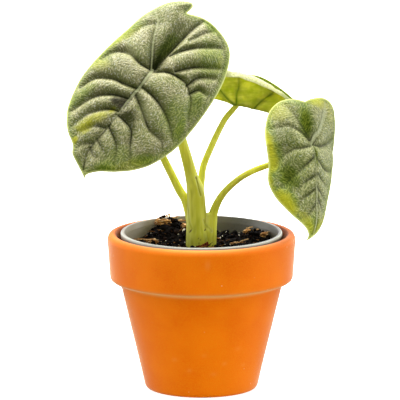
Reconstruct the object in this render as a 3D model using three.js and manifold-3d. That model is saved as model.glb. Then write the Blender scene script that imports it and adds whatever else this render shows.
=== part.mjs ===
// A potted alocasia: four quilted, shield-shaped leaves on long stalks. It grows in a thin plastic
// grower's pot that stands inside a terracotta pot.
// Millimetres, +Z up. The origin is the middle of the terracotta pot's base. +Y points to the back.

import * as THREE from "three";
import { mergeVertices } from "three/addons/utils/BufferGeometryUtils.js";
import { ConvexHull } from "three/addons/math/ConvexHull.js";
import Module from "manifold-3d";

const wasm = await Module();
wasm.setup();

const GAP = 0.3; // clearance between pieces that touch
const SAME_PLACE = 1e-4; // corners closer than this are one corner

// Terracotta pot: 14 cm size, 117 mm tall
const POT_ROUND = 60; // sides that stand for the round
const POT_HEIGHT = 116.8;
const POT_BASE_RADIUS = 41.6;
const POT_BODY_FLARE = 0.239; // growth of the outer radius for each millimetre of height
const POT_FLOOR = 8;
const POT_INNER_BASE_RADIUS = 36.5;
const POT_DRAIN_RADIUS = 9;
const BAND_BOTTOM = 82;
const BAND_BOTTOM_RADIUS = 68.4;
const BAND_TOP_RADIUS = 70.3;
const POT_MOUTH_RADIUS = 63.2;

// Grower's pot: 120 mm across the lip, wedged in the terracotta cone
const GROWER_BOTTOM = 27.8;
const GROWER_TOP = 118.1;
const GROWER_BASE_RADIUS = 41.9;
const GROWER_NECK_RADIUS = 58;
const GROWER_LIP_RADIUS = 60.3;
const GROWER_LIP_HEIGHT = 4;
const GROWER_LIP_WIDTH = 2.6;
const GROWER_LEAN = 0.012; // rise of the lip for each millimetre towards the back
const GROWER_LEAN_FROM = 100;
const GROWER_WALL = 1;
const GROWER_DRAINS = 6;
const GROWER_DRAIN_RADIUS = 4;
const GROWER_DRAIN_CIRCLE = 29.3; // from the pot's axis to the middle of a drain
const DRILL_LENGTH = 8;
const DRILL_SIDES = 10;

// Potting mix: a rough surface with two mounds at the back, on the left and on the right
const SOIL_LEVEL = 107;
const SOIL_LUMP = 1.6;
const SOIL_SIDES = 54;
const SOIL_RINGS = 13;
const MOUNDS = [
  { x: -25, y: 42, radius: 15, height: 10 },
  { x: 43, y: 27, radius: 12, height: 6.5 },
];

// Bark chips: rough stones whose size varies from corner to corner, sunk into the mix
const CHIP_LEAST = 0.82;
const CHIP_ROUGHNESS = 0.25;
const CHIP_RAISED = 0.15; // share of a chip's height by which its middle lies above the mix

// Scrap of a dead leaf's sheath, clasping the front of the stem's foot
const DRY_SHEATH = { from: -97, to: -36, bottom: 108.2, height: 3.8, thickness: 0.8, steps: 14 };
const DRY_SHEATH_CURL = 0.4; // how far its torn edge leans out
const DRY_SHEATH_LOW = 0.35; // shares of its height: where the torn edge starts, how much of it is
const DRY_SHEATH_RAGGED = 0.3; // uneven, and where it ends
const DRY_SHEATH_END = 0.4;
const DRY_SHEATH_SWEEP = 1.5; // how late the torn edge rises

// Leaf tissue
const BLADE_THICKNESS = 0.9;
const VEIN_RIB = 0.8; // how far a vein stands out below the blade
const MIDRIB_RIB = 1.4;
const RIB_WIDTH = 2.2;
const VEIN_TAPER = 0.7; // share of a vein's rib that is lost by its end
const MIDRIB_SOFTNESS = 0.3; // how soft the quilting's seams are at the midrib and at the margin
const MARGIN_SOFTNESS = 3;
const KEEL_ROUNDING = 1.6; // half the width over which a folded blade turns at its midrib
const MARGIN_ROLL = 1.1; // times its reach, a half's width past which its turn grows no more

// How closely a blade's corners stand, as shares of the leaf's grain
const LINE_SPACING = 0.62;
const ROW_SPACING = 0.87;
const LEAST_SPACING = 0.72;
const MARGIN_ROOM = 0.55;
const SCATTER = 0.6; // how far a corner is moved off its row, in millimetres
const SPANS = 6; // straight pieces that stand for the curve between two points of a line
const SHEET_STEPS = 24;
const BOWL_WIDTH = 50;

// Stalks
const COLUMN_SIDES = 16;
const STALK_SIDES = 12;
const STALK_SPANS = 3;
const STALK_END_RADIUS = 2;
const BURIED_POINTS = 4; // points of a route, from its foot, that can touch the mix

// Routes of the leaf stalks, bottom to top: x, y, z and radius. Each ends at its blade.
const LARGE_STALK = [
  [-2.6, 0, 92, 8.6],
  [-2.6, 0, 108, 9.1],
  [-3.5, 0, 122, 7.8],
  [-3.8, 0, 136, 7.1],
  [-4.8, -0.3, 150, 6.6],
  [-7.3, -1, 160, 4.8],
  [-12, -2, 178, 4],
  [-17.5, -2, 196, 3.6],
  [-25, -1, 216, 3.2],
  [-33, -0.5, 231, 3],
  [-37, -2, 236.5, 2.8],
];
const MIDDLE_STALK = [
  [-2.5, 2, 128, 2.8],
  [-1.1, 4, 145, 2.8],
  [0, 6, 156, 2.7],
  [1.7, 9, 166.8, 2.5],
  [8.4, 17, 181.7, 2.4],
  [16.8, 27, 197, 2.3],
  [23, 32.4, 204, 2.2],
];
const RIGHT_STALK = [
  [6, 0, 92, 4],
  [6.6, 0, 108, 4.4],
  [7.5, 0, 123, 4],
  [9.8, 0, 135, 3.2],
  [16.4, -3, 147.8, 2.6],
  [27.2, -7, 158.8, 2.4],
  [37, -11, 165.6, 2.3],
  [49.5, -13, 170.9, 2.2],
  [62, -13.5, 175.6, 2.1],
  [72, -13.5, 180.6, 2.1],
  [79, -16.8, 186, 2.2],
];
const REAR_STALK = [
  [-7, 3, 114, 2.9],
  [-8.4, 4, 126, 3.1],
  [-11.8, 6.6, 140, 3.3],
  [-16.8, 9.5, 148.5, 3.2],
  [-25, 14, 164.2, 2.9],
  [-36.4, 21.5, 185.5, 2.5],
  [-45, 27.5, 197, 2.2],
];

// Leaves. A leaf's own plane has "along" from the stalk towards the tip, and "across" to the right as
// the upper face is looked at with its tip down. The midrib leaves the stalk in the direction of
// heading and pitch, and roll turns the blade about it. Angles are in degrees, bends in degrees for
// each millimetre. A half turns by edge more towards its margin, which lies at reach, a list of places
// along and widths. A margin is listed from the tip to the notch, a vein from its root outwards, and
// blur is how soft the vein's groove is at its root and at its end.
const LARGE_LEAF = {
  attach: [-35.5, -12, 243.5],
  heading: 224,
  pitch: 45,
  roll: -48,
  bend: { tip: 0.22, base: 0.35 },
  right: { fold: 0, curl: -0.5, edge: 0, reach: [[0, 1]] },
  left: { fold: 0, curl: -0.95, edge: 0, reach: [[0, 1]] },
  lobeTwist: 0,
  puff: 0.85,
  grain: 5.2,
  rightMargin: [
    [99, 3], [95, 1], [88.4, 7], [81.5, 18], [73, 28.7], [61, 38.3], [41, 46.7], [16, 50.4],
    [-13, 51], [-35, 48], [-52.5, 40.5], [-59.5, 28], [-61, 12], [-56, -2],
  ],
  leftMargin: [
    [99, 3], [93.5, -6], [87.5, -16], [81.5, -19.7], [75, -28.7], [67, -35.3], [56, -41], [32, -45],
    [6, -41], [-20, -33.5], [-38, -28.5], [-56, -18.5], [-66, -6], [-64.5, -1], [-56, -2],
  ],
  valley: { line: [[-4, 0], [-19, -1], [-37, 0], [-56, 2]], depth: [6.5, 1], width: 7 },
  dimples: [{ at: [42, 6], radius: 6, depth: 2.5 }, { at: [37, -7], radius: 5, depth: 1.2 }],
  midrib: [[-1, 0], [18, -1], [34, -3], [59, -5], [71, -7], [82, -7], [93, -3]],
  veins: [
    { line: [[0, 0], [2, -10], [-1, -21], [3, -32], [12, -38]], blur: [0.6, 2.5] },
    { line: [[0, -1], [-14, -9], [-24, -13], [-35, -16], [-45, -24]], blur: [0.6, 2.5] },
    { line: [[-33, -17], [-27, -23], [-13, -28]], blur: [3, 3.5] },
    { line: [[20, -2], [22, -12], [23, -22], [29, -34], [40, -40]], blur: [0.5, 2] },
    { line: [[30, -3], [34, -16], [43, -27], [60, -35]], blur: [0.5, 2] },
    { line: [[42, -4], [45, -12], [55, -22], [70, -28]], blur: [1, 3] },
    { line: [[58, -6], [62, -14], [74, -22]], blur: [1.8, 3.5] },
    { line: [[73, -8], [77, -13], [82, -16]], blur: [2.2, 3.5] },
    {
      line: [[0, 2], [-4, 10], [-5.5, 20], [-4.5, 28], [4, 37], [15, 42], [24, 48]],
      blur: [0.5, 2.5],
    },
    { line: [[-4, 28], [-15, 32], [-24, 43]], blur: [0.6, 2] },
    { line: [[0, 33], [-7, 37], [-8, 44]], blur: [0.8, 2] },
    { line: [[17, 0], [19, 14], [26, 29], [38, 42]], blur: [0.5, 2] },
    { line: [[25, 0], [33, 11], [41, 22], [43, 34], [50, 40]], blur: [0.6, 2.5] },
    { line: [[45, -3], [48, 10], [60, 17], [71, 24]], blur: [0.6, 2.5] },
    { line: [[56, -4], [65, 8], [78, 14]], blur: [1.4, 3] },
    { line: [[69, -6], [73, 1], [77, 7]], blur: [2.2, 3.5] },
    { line: [[-2, 1], [-27, 5], [-45, 8], [-59, 12]], blur: [0.5, 1.5] },
    { line: [[-17, 5], [-31, 15], [-38, 22], [-49, 34]], blur: [1.5, 2] },
    { line: [[-36, 11], [-48, 17], [-59, 24]], blur: [2.8, 3] },
    { line: [[-8, 15], [-20, 25], [-27, 34], [-35, 44]], blur: [0.8, 2.5] },
    { line: [[77, -7], [80, -3], [81, 0]], blur: [2.2, 3] },
    {
      line: [[-59, 12], [-54, 31], [-35, 44], [-8, 46], [21, 46], [50, 39], [71, 24]],
      blur: [3.2, 3.8],
    },
  ],
};
const MIDDLE_LEAF = {
  attach: [27, 35, 209.4],
  heading: 6,
  pitch: 13,
  roll: -15,
  bend: { tip: 0.12, base: 0.1 },
  right: { fold: 60, curl: -0.2, edge: 0, reach: [[0, 1]] },
  left: {
    fold: 54,
    curl: 0,
    edge: -150,
    reach: [
      [-34, 26], [-28, 36], [-6, 40], [6, 37.6], [20, 32], [28, 27.4], [40, 19], [50, 12], [62, 4],
    ],
  },
  lobeTwist: 0,
  puff: 0.2,
  grain: 4,
  rightMargin: [
    [62, 2], [56, 7], [50, 12], [41.5, 18.2], [33.5, 23.3], [25.5, 27.5], [19, 30.2], [13, 31.3],
    [8, 30.8], [0, 29.5], [-12, 28], [-20, 26], [-29, 18], [-32, 8], [-28, 0],
  ],
  leftMargin: [
    [62, 2], [56, -5], [50, -11.5], [40, -18.4], [28, -26.6], [20, -31.2], [6, -36.8], [-6, -38.6],
    [-20, -36.5], [-29, -31], [-34, -21], [-34, -10], [-28, 0],
  ],
  valley: { line: [[-3, 0], [-28, 0]], depth: [1, 0.5], width: 5 },
  dimples: [],
  midrib: [[-1, 0], [20, 0.5], [40, 0], [58, 1]],
  veins: [
    { line: [[-1, -1], [-3, -9], [-3, -16], [-6, -28]], blur: [0.6, 2] },
    { line: [[-2, -1], [-9, -4], [-18, -12], [-24, -20]], blur: [0.6, 2] },
    { line: [[13, -1], [17, -9], [22, -17], [23, -25]], blur: [0.6, 2] },
    { line: [[27, 0], [33, -8], [38, -15]], blur: [0.7, 2.5] },
    { line: [[40, 0], [45, -5], [49, -8]], blur: [1, 3] },
    { line: [[-1, 1], [-2, 10], [-5, 18], [-8, 28]], blur: [0.6, 2] },
    { line: [[-2, 1], [-10, 5], [-19, 12], [-25, 20]], blur: [0.6, 2] },
    { line: [[12, 1], [17, 11], [22, 19], [23, 27]], blur: [0.6, 2] },
    { line: [[26, 1], [32, 9], [38, 17]], blur: [0.7, 2.5] },
    { line: [[40, 1], [45, 6], [49, 10]], blur: [1, 3] },
  ],
};
const RIGHT_LEAF = {
  attach: [83, -22, 188.7],
  heading: -84,
  pitch: 65,
  roll: -29,
  bend: { tip: 0.15, base: 0.3 },
  right: { fold: -26, curl: -0.3, edge: 0, reach: [[0, 1]] },
  left: { fold: -24, curl: -0.5, edge: 0, reach: [[0, 1]] },
  creased: true,
  lobeTwist: -0.5,
  puff: 0.55,
  grain: 4.6,
  rightMargin: [
    [74.5, -6], [70, -0.5], [64.5, 5.5], [55, 12], [42, 17], [29, 23], [15, 28.5], [1, 32],
    [-12, 30.7], [-24, 28.5], [-33, 25.5], [-37.5, 19.5], [-38, 11], [-34, -3],
  ],
  leftMargin: [
    [74.5, -6], [68.5, -4], [62, -7.5], [54, -17], [45, -26], [37, -31.5], [28, -34.5], [16, -34],
    [5, -35], [-6, -36], [-18, -35], [-31, -31], [-38, -23], [-38, -12], [-34, -3],
  ],
  valley: { line: [[-3, 0], [-18, -4], [-34, -5]], depth: [3.5, 1.5], width: 7 },
  dimples: [],
  midrib: [[-1, 0], [7, 1], [22, 1.7], [44, 2.2], [58, 2.2], [68, 0]],
  veins: [
    { line: [[-3, -3], [-10, -9], [-15, -19], [-14, -30]], blur: [0.6, 2.5] },
    { line: [[1, -1], [3, -8], [4, -15], [9, -23], [17, -29]], blur: [1, 2.5] },
    { line: [[9, 1], [15, -5], [25, -16], [33, -24]], blur: [1, 3] },
    { line: [[23, 2], [27, -4], [31, -9], [37, -13]], blur: [1, 3] },
    { line: [[33, 2], [38, -4], [42, -9], [48, -12]], blur: [1, 3] },
    { line: [[45, 2], [50, -2], [56, -6]], blur: [1.2, 3] },
    { line: [[-2, -1], [-14, -8], [-26, -13], [-34, -18]], blur: [1.5, 3] },
    { line: [[-2, 1], [-7, 4], [-12, 8], [-23, 13], [-34, 16]], blur: [0.8, 2] },
    { line: [[0, 1], [0, 10], [-4, 20], [-10, 28]], blur: [0.8, 2.5] },
    { line: [[11, 3], [17, 12], [18, 20], [16, 28]], blur: [0.8, 2.5] },
    { line: [[23, 4], [27, 9], [31, 16]], blur: [0.8, 2.5] },
    { line: [[33, 3], [38, 8], [42, 11]], blur: [0.8, 2.5] },
    { line: [[42, 4], [47, 7], [50, 9]], blur: [1, 3] },
  ],
};
const REAR_LEAF = {
  attach: [-50, 31, 203],
  heading: 143,
  pitch: 26,
  roll: 0,
  bend: { tip: 0.45, base: 0.4 },
  right: { fold: 6, curl: -1.1, edge: 0, reach: [[0, 1]] },
  left: { fold: 6, curl: -1.1, edge: 0, reach: [[0, 1]] },
  lobeTwist: 0,
  puff: 0.55,
  grain: 4.6,
  rightMargin: [
    [52, 1], [47, 4], [41, 11], [32, 18], [20, 24], [6, 26], [-9, 25], [-20, 20],
    [-26, 12], [-27, 5], [-23, 0],
  ],
  leftMargin: [
    [52, 1], [47, -2], [41, -9], [32, -17], [20, -23], [6, -25], [-9, -24], [-20, -19],
    [-27, -11], [-28, -4], [-23, 0],
  ],
  valley: { line: [[-3, 0], [-23, 0]], depth: [2.5, 0.5], width: 5 },
  dimples: [],
  midrib: [[-1, 0], [20, -0.5], [48, 1]],
  veins: [-1, 1].flatMap((side) => [
    { line: [[0, side], [-3, 9 * side], [-4, 20 * side]], blur: [0.6, 2.5] },
    { line: [[-1, side], [-11, 4 * side], [-21, 11 * side]], blur: [0.6, 2.5] },
    { line: [[8, side], [12, 10 * side], [14, 20 * side]], blur: [0.6, 2.5] },
    { line: [[19, side], [24, 8 * side], [28, 16 * side]], blur: [0.7, 2.5] },
    { line: [[31, side], [36, 6 * side], [39, 10 * side]], blur: [1, 3] },
  ]),
};

// Bark chips on the potting mix: centre, length, width and height, and the turn about +Z in degrees
const BARK_CHIPS = [
  { x: -42, y: 14, size: [22, 8, 4.5], turn: -12 },
  { x: -29, y: 41, size: [13, 6, 5], turn: 20 },
  { x: -14, y: 44, size: [10, 7, 4.5], turn: -35 },
  { x: 35, y: 33, size: [8, 6, 5], turn: 40 },
  { x: 27, y: 8, size: [14, 2.6, 2.4], turn: 24 },
  { x: 47, y: 20, size: [9, 6, 4], turn: 75 },
  { x: 6, y: -15, size: [12, 4, 3.5], turn: 30 },
  { x: -25, y: -25, size: [12, 7, 4], turn: 55 },
  { x: 28, y: -28, size: [10, 6, 4], turn: -20 },
];

const clay = new THREE.MeshStandardMaterial({ color: 0xd8722c, roughness: 0.85 });
const plastic = new THREE.MeshStandardMaterial({ color: 0x7d8580, roughness: 0.5 });
const pottingMix = new THREE.MeshStandardMaterial({ color: 0x2a1d15, roughness: 1 });
const bark = new THREE.MeshStandardMaterial({ color: 0x8a5f38, roughness: 0.95 });
const stalkGreen = new THREE.MeshStandardMaterial({ color: 0xb5bf4a, roughness: 0.5 });
const leafGreen = new THREE.MeshStandardMaterial({ color: 0x6f7d55, roughness: 0.6 });

// Random numbers from 0 to 1 that are the same on every run
function seeded(seed) {
  let state = seed;
  return () => {
    state = (state * 1664525 + 1013904223) % 4294967296;
    return state / 4294967296;
  };
}

const radians = THREE.MathUtils.degToRad;

function bufferGeometry(positions, triangles) {
  return new THREE.BufferGeometry()
    .setAttribute("position", new THREE.Float32BufferAttribute(positions.flat(), 3))
    .setIndex(triangles.flat());
}

function toSolid(geometry) {
  const bare = geometry.clone();
  bare.deleteAttribute("normal");
  bare.deleteAttribute("uv");
  const merged = mergeVertices(bare, SAME_PLACE);
  return new wasm.Manifold(
    new wasm.Mesh({
      numProp: 3,
      vertProperties: merged.getAttribute("position").array,
      triVerts: new Uint32Array(merged.index.array),
    }),
  );
}

// The largest body of a solid, as a geometry
function toGeometry(solid) {
  const [largest] = solid.decompose().sort((p, q) => q.volume() - p.volume());
  const { vertProperties, triVerts } = largest.getMesh();
  return new THREE.BufferGeometry()
    .setAttribute("position", new THREE.BufferAttribute(new Float32Array(vertProperties), 3))
    .setIndex(new THREE.BufferAttribute(new Uint32Array(triVerts), 1));
}

function without(geometry, cutters) {
  return toGeometry(cutters.reduce((left, cutter) => left.subtract(toSolid(cutter)), toSolid(geometry)));
}

// A closed skin over rings of points that all turn the same way, with a fan over each end
function skin(rings, firstCentre, lastCentre) {
  const sides = rings[0].length;
  const positions = [...rings.flat(), firstCentre, lastCentre];
  const first = positions.length - 2;
  const triangles = [];
  for (let i = 0; i < sides; i++) {
    const j = (i + 1) % sides;
    triangles.push([first, j, i]);
    for (let k = 0; k + 1 < rings.length; k++) {
      const low = k * sides;
      triangles.push([low + i, low + j, low + sides + j], [low + i, low + sides + j, low + sides + i]);
    }
    const last = (rings.length - 1) * sides;
    triangles.push([first + 1, last + i, last + j]);
  }
  return bufferGeometry(positions, triangles);
}

function turned(profile, segments) {
  const outline = [...profile, profile[0]].map(([radius, z]) => new THREE.Vector2(radius, z));
  return new THREE.LatheGeometry(outline, segments).rotateX(Math.PI / 2);
}

function terracottaPot() {
  const outer = (z) => POT_BASE_RADIUS + POT_BODY_FLARE * z;
  const top = POT_HEIGHT;
  const lip = (POT_MOUTH_RADIUS + BAND_TOP_RADIUS) / 2;
  const profile = [
    [POT_DRAIN_RADIUS, 0],
    [POT_BASE_RADIUS - 1.6, 0],
    [POT_BASE_RADIUS - 0.3, 0.5],
    [outer(2), 2],
    [outer(BAND_BOTTOM - 2), BAND_BOTTOM - 2],
    [outer(BAND_BOTTOM) + 0.8, BAND_BOTTOM],
    [BAND_BOTTOM_RADIUS - 2.2, BAND_BOTTOM],
    [BAND_BOTTOM_RADIUS - 0.6, BAND_BOTTOM + 0.6],
    [BAND_BOTTOM_RADIUS, BAND_BOTTOM + 2.2],
    [BAND_TOP_RADIUS, top - 4.5],
    [BAND_TOP_RADIUS - 0.5, top - 2],
    [BAND_TOP_RADIUS - 2, top - 0.5],
    [lip, top],
    [POT_MOUTH_RADIUS + 1, top - 0.5],
    [POT_MOUTH_RADIUS, top - 2],
    [POT_INNER_BASE_RADIUS + 1, POT_FLOOR + 1.5],
    [POT_INNER_BASE_RADIUS - 1.5, POT_FLOOR],
    [POT_DRAIN_RADIUS, POT_FLOOR],
  ];
  return turned(profile, POT_ROUND);
}

// Thin plastic gives way: towards its lip the grower's pot stands higher at the back than at the front
function leaned(geometry) {
  const corners = geometry.getAttribute("position");
  for (let i = 0; i < corners.count; i++) {
    const z = corners.getZ(i);
    const share = Math.max(THREE.MathUtils.inverseLerp(GROWER_LEAN_FROM, GROWER_TOP, z), 0);
    corners.setZ(i, z + GROWER_LEAN * corners.getY(i) * share);
  }
  return geometry;
}

const growerRadius = (z) =>
  THREE.MathUtils.mapLinear(z, GROWER_BOTTOM, GROWER_TOP, GROWER_BASE_RADIUS, GROWER_NECK_RADIUS);

function growerPot() {
  const lipBottom = GROWER_TOP - GROWER_LIP_HEIGHT;
  const floor = GROWER_BOTTOM + GROWER_WALL;
  const profile = [
    [0, GROWER_BOTTOM],
    [GROWER_BASE_RADIUS - 1, GROWER_BOTTOM],
    [GROWER_BASE_RADIUS, GROWER_BOTTOM + 1],
    [growerRadius(lipBottom), lipBottom],
    [GROWER_LIP_RADIUS - 0.3, lipBottom],
    [GROWER_LIP_RADIUS, lipBottom + 0.6],
    [GROWER_LIP_RADIUS, GROWER_TOP - 0.6],
    [GROWER_LIP_RADIUS - 0.6, GROWER_TOP],
    [GROWER_LIP_RADIUS - GROWER_LIP_WIDTH, GROWER_TOP],
    [growerRadius(lipBottom) - GROWER_WALL, lipBottom],
    [growerRadius(floor) - GROWER_WALL, floor],
    [0, floor],
  ];
  const drains = Array.from({ length: GROWER_DRAINS }, (_, i) => {
    const turn = (2 * Math.PI * i) / GROWER_DRAINS;
    const x = GROWER_DRAIN_CIRCLE * Math.cos(turn);
    const y = GROWER_DRAIN_CIRCLE * Math.sin(turn);
    return new THREE.CylinderGeometry(GROWER_DRAIN_RADIUS, GROWER_DRAIN_RADIUS, DRILL_LENGTH, DRILL_SIDES)
      .rotateX(Math.PI / 2)
      .translate(x, y, GROWER_BOTTOM);
  });
  const outline = profile.map(([radius, z]) => new THREE.Vector2(radius, z));
  return leaned(without(new THREE.LatheGeometry(outline, POT_ROUND).rotateX(Math.PI / 2), drains));
}

// Height of the potting mix: a level, the mounds, and lumps whose heights are drawn for each corner
function soilHeight(x, y, lump) {
  let z = SOIL_LEVEL + SOIL_LUMP * (lump - 0.5);
  for (const mound of MOUNDS) {
    const away = Math.hypot(x - mound.x, y - mound.y) / mound.radius;
    z += mound.height * Math.exp(-away * away);
  }
  return z;
}

function pottingSoil(cutters) {
  const random = seeded(7);
  const wall = (z) => growerRadius(z) - GROWER_WALL - GAP;
  const bottom = GROWER_BOTTOM + GROWER_WALL + GAP;
  const circle = (radius, height) =>
    Array.from({ length: SOIL_SIDES }, (_, i) => {
      const turn = (2 * Math.PI * i) / SOIL_SIDES;
      const x = radius * Math.cos(turn);
      const y = radius * Math.sin(turn);
      return [x, y, height(x, y)];
    });
  const rings = [circle(wall(bottom), () => bottom)];
  for (let k = 0; k < SOIL_RINGS; k++) {
    const radius = wall(SOIL_LEVEL) * (1 - k / SOIL_RINGS);
    rings.push(circle(radius, (x, y) => soilHeight(x, y, random())));
  }
  return without(skin(rings, [0, 0, bottom], [0, 0, SOIL_LEVEL]), cutters);
}

// A bark chip: a rough stone shape, sunk into the potting mix
function barkChip({ x, y, size, turn }, index, grow = 0) {
  const random = seeded(100 + index);
  const chip = new THREE.IcosahedronGeometry(1, 1);
  chip.deleteAttribute("normal");
  chip.deleteAttribute("uv");
  const merged = mergeVertices(chip, SAME_PLACE);
  const corners = merged.getAttribute("position");
  for (let i = 0; i < corners.count; i++) {
    const rough = CHIP_LEAST + CHIP_ROUGHNESS * random();
    const [half, side, rise] = size.map((s) => (s / 2) * rough + grow);
    corners.setXYZ(i, corners.getX(i) * half, corners.getY(i) * side, corners.getZ(i) * rise);
  }
  return merged.rotateZ(radians(turn)).translate(x, y, soilHeight(x, y, 0.5) + size[2] * CHIP_RAISED);
}

// A stalk: rings carried along a smooth route without twisting
function stalk(route, sides, grow = 0) {
  const spine = new THREE.CatmullRomCurve3(
    route.map(([x, y, z]) => new THREE.Vector3(x, y, z)),
    false,
    "catmullrom",
  );
  const count = STALK_SPANS * (route.length - 1);
  const radiusAt = (t) => {
    const place = t * (route.length - 1);
    const index = Math.min(Math.floor(place), route.length - 2);
    return THREE.MathUtils.lerp(route[index][3], route[index + 1][3], place - index) + grow;
  };
  const normal = new THREE.Vector3(1, 0, 0);
  const rings = [];
  for (let k = 0; k <= count; k++) {
    const t = k / count;
    const tangent = spine.getTangent(t);
    normal.addScaledVector(tangent, -normal.dot(tangent)).normalize();
    const binormal = new THREE.Vector3().crossVectors(tangent, normal);
    const centre = spine.getPoint(t);
    rings.push(
      Array.from({ length: sides }, (_, i) => {
        const turn = (2 * Math.PI * i) / sides;
        return centre
          .clone()
          .addScaledVector(normal, radiusAt(t) * Math.cos(turn))
          .addScaledVector(binormal, radiusAt(t) * Math.sin(turn))
          .toArray();
      }),
    );
  }
  const ends = [spine.getPoint(0).addScaledVector(spine.getTangent(0), -grow), spine.getPoint(1)];
  return skin(rings, ...ends.map((end) => end.toArray()));
}

// The dry scrap: a strip bent round the foot of the large stalk. Its torn upper edge rises to one side.
function drySheath() {
  const random = seeded(23);
  const [x, y, , radius] = LARGE_STALK[1];
  const { from, to, bottom, height, thickness, steps } = DRY_SHEATH;
  const inner = radius + GAP;
  const outer = inner + thickness;
  const rings = [];
  for (let k = 0; k <= steps; k++) {
    const share = k / steps;
    const turn = radians(THREE.MathUtils.lerp(from, to, share));
    const sweep = THREE.MathUtils.lerp(DRY_SHEATH_LOW, 1, share ** DRY_SHEATH_SWEEP);
    const rise = sweep * (1 - DRY_SHEATH_RAGGED * random());
    const top = bottom + height * (k === steps ? DRY_SHEATH_END : rise);
    const corner = (away, z) => [x + away * Math.cos(turn), y + away * Math.sin(turn), z];
    rings.push([
      corner(inner, bottom),
      corner(inner, top),
      corner(outer + DRY_SHEATH_CURL, top),
      corner(outer, bottom),
    ]);
  }
  const middle = (ring) => [0, 1, 2].map((axis) => ring.reduce((sum, p) => sum + p[axis], 0) / ring.length);
  return skin(rings, middle(rings[0]), middle(rings[steps]));
}

function splineThrough(points) {
  const curve = new THREE.SplineCurve(points.map(([a, b]) => new THREE.Vector2(a, b)));
  return curve.getPoints(SPANS * (points.length - 1));
}

function distanceTo(line, a, b) {
  let best = { distance: Infinity, along: 0 };
  for (let i = 0; i + 1 < line.length; i++) {
    const p = line[i];
    const q = line[i + 1];
    const dx = q.x - p.x;
    const dy = q.y - p.y;
    const t = THREE.MathUtils.clamp(((a - p.x) * dx + (b - p.y) * dy) / (dx * dx + dy * dy), 0, 1);
    const distance = Math.hypot(a - p.x - t * dx, b - p.y - t * dy);
    if (distance < best.distance) best = { distance, along: (i + t) / (line.length - 1) };
  }
  return best;
}

// A leaf with its lines sampled and its frame worked out
function preparedLeaf(leaf) {
  const heading = radians(leaf.heading);
  const pitch = radians(leaf.pitch);
  const roll = radians(leaf.roll);
  const tangent = new THREE.Vector3(
    Math.cos(pitch) * Math.cos(heading),
    Math.cos(pitch) * Math.sin(heading),
    -Math.sin(pitch),
  );
  const level = new THREE.Vector3(
    Math.sin(pitch) * Math.cos(heading),
    Math.sin(pitch) * Math.sin(heading),
    Math.cos(pitch),
  );
  const normal = level
    .clone()
    .multiplyScalar(Math.cos(roll))
    .addScaledVector(new THREE.Vector3().crossVectors(tangent, level), Math.sin(roll));
  const across = new THREE.Vector3().crossVectors(normal, tangent);
  const rightMargin = splineThrough(leaf.rightMargin);
  const leftMargin = splineThrough(leaf.leftMargin);
  const outline = [...rightMargin, ...leftMargin.slice(1, -1).reverse()];
  return {
    ...leaf,
    tangent,
    normal,
    across,
    outline,
    margin: [...outline, outline[0]],
    midribLine: splineThrough(leaf.midrib),
    valleyLine: splineThrough(leaf.valley.line),
    veinLines: leaf.veins.map(({ line, blur }) => ({ line: splineThrough(line), blur })),
  };
}

// The quilting: the blade swells between its veins, like cloth between seams
function quilting(leaf, a, b) {
  const midrib = distanceTo(leaf.midribLine, a, b).distance;
  const edge = distanceTo(leaf.margin, a, b).distance;
  let tightness = 1 / (midrib * midrib + MIDRIB_SOFTNESS) + 1 / (edge * edge + MARGIN_SOFTNESS);
  let rib = MIDRIB_RIB * Math.exp(-((midrib / RIB_WIDTH) ** 2));
  for (const { line, blur } of leaf.veinLines) {
    const { distance, along } = distanceTo(line, a, b);
    const soft = THREE.MathUtils.lerp(blur[0], blur[1], along);
    tightness += 1 / (distance * distance + soft * soft);
    const rise = VEIN_RIB * (1 - VEIN_TAPER * along);
    rib = Math.max(rib, rise * Math.exp(-((distance / RIB_WIDTH) ** 2)));
  }
  const valley = distanceTo(leaf.valleyLine, a, b);
  const depth = THREE.MathUtils.lerp(leaf.valley.depth[0], leaf.valley.depth[1], valley.along);
  let height = leaf.puff / Math.sqrt(tightness);
  height -= depth * Math.exp(-((valley.distance / leaf.valley.width) ** 2));
  for (const { at, radius, depth: dent } of leaf.dimples) {
    const away = Math.hypot(a - at[0], b - at[1]) / radius;
    height -= dent * Math.exp(-away * away);
  }
  return { height, rib: edge < 1 ? 0 : rib };
}

// A value at a place along the leaf, from a list of places and values that holds beyond its ends
function valueAt(list, a) {
  const next = list.findIndex(([place]) => place > a);
  if (next === 0) return list[0][1];
  if (next < 0) return list.at(-1)[1];
  const [[from, low], [to, high]] = list.slice(next - 1, next + 1);
  return THREE.MathUtils.mapLinear(a, from, to, low, high);
}

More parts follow.
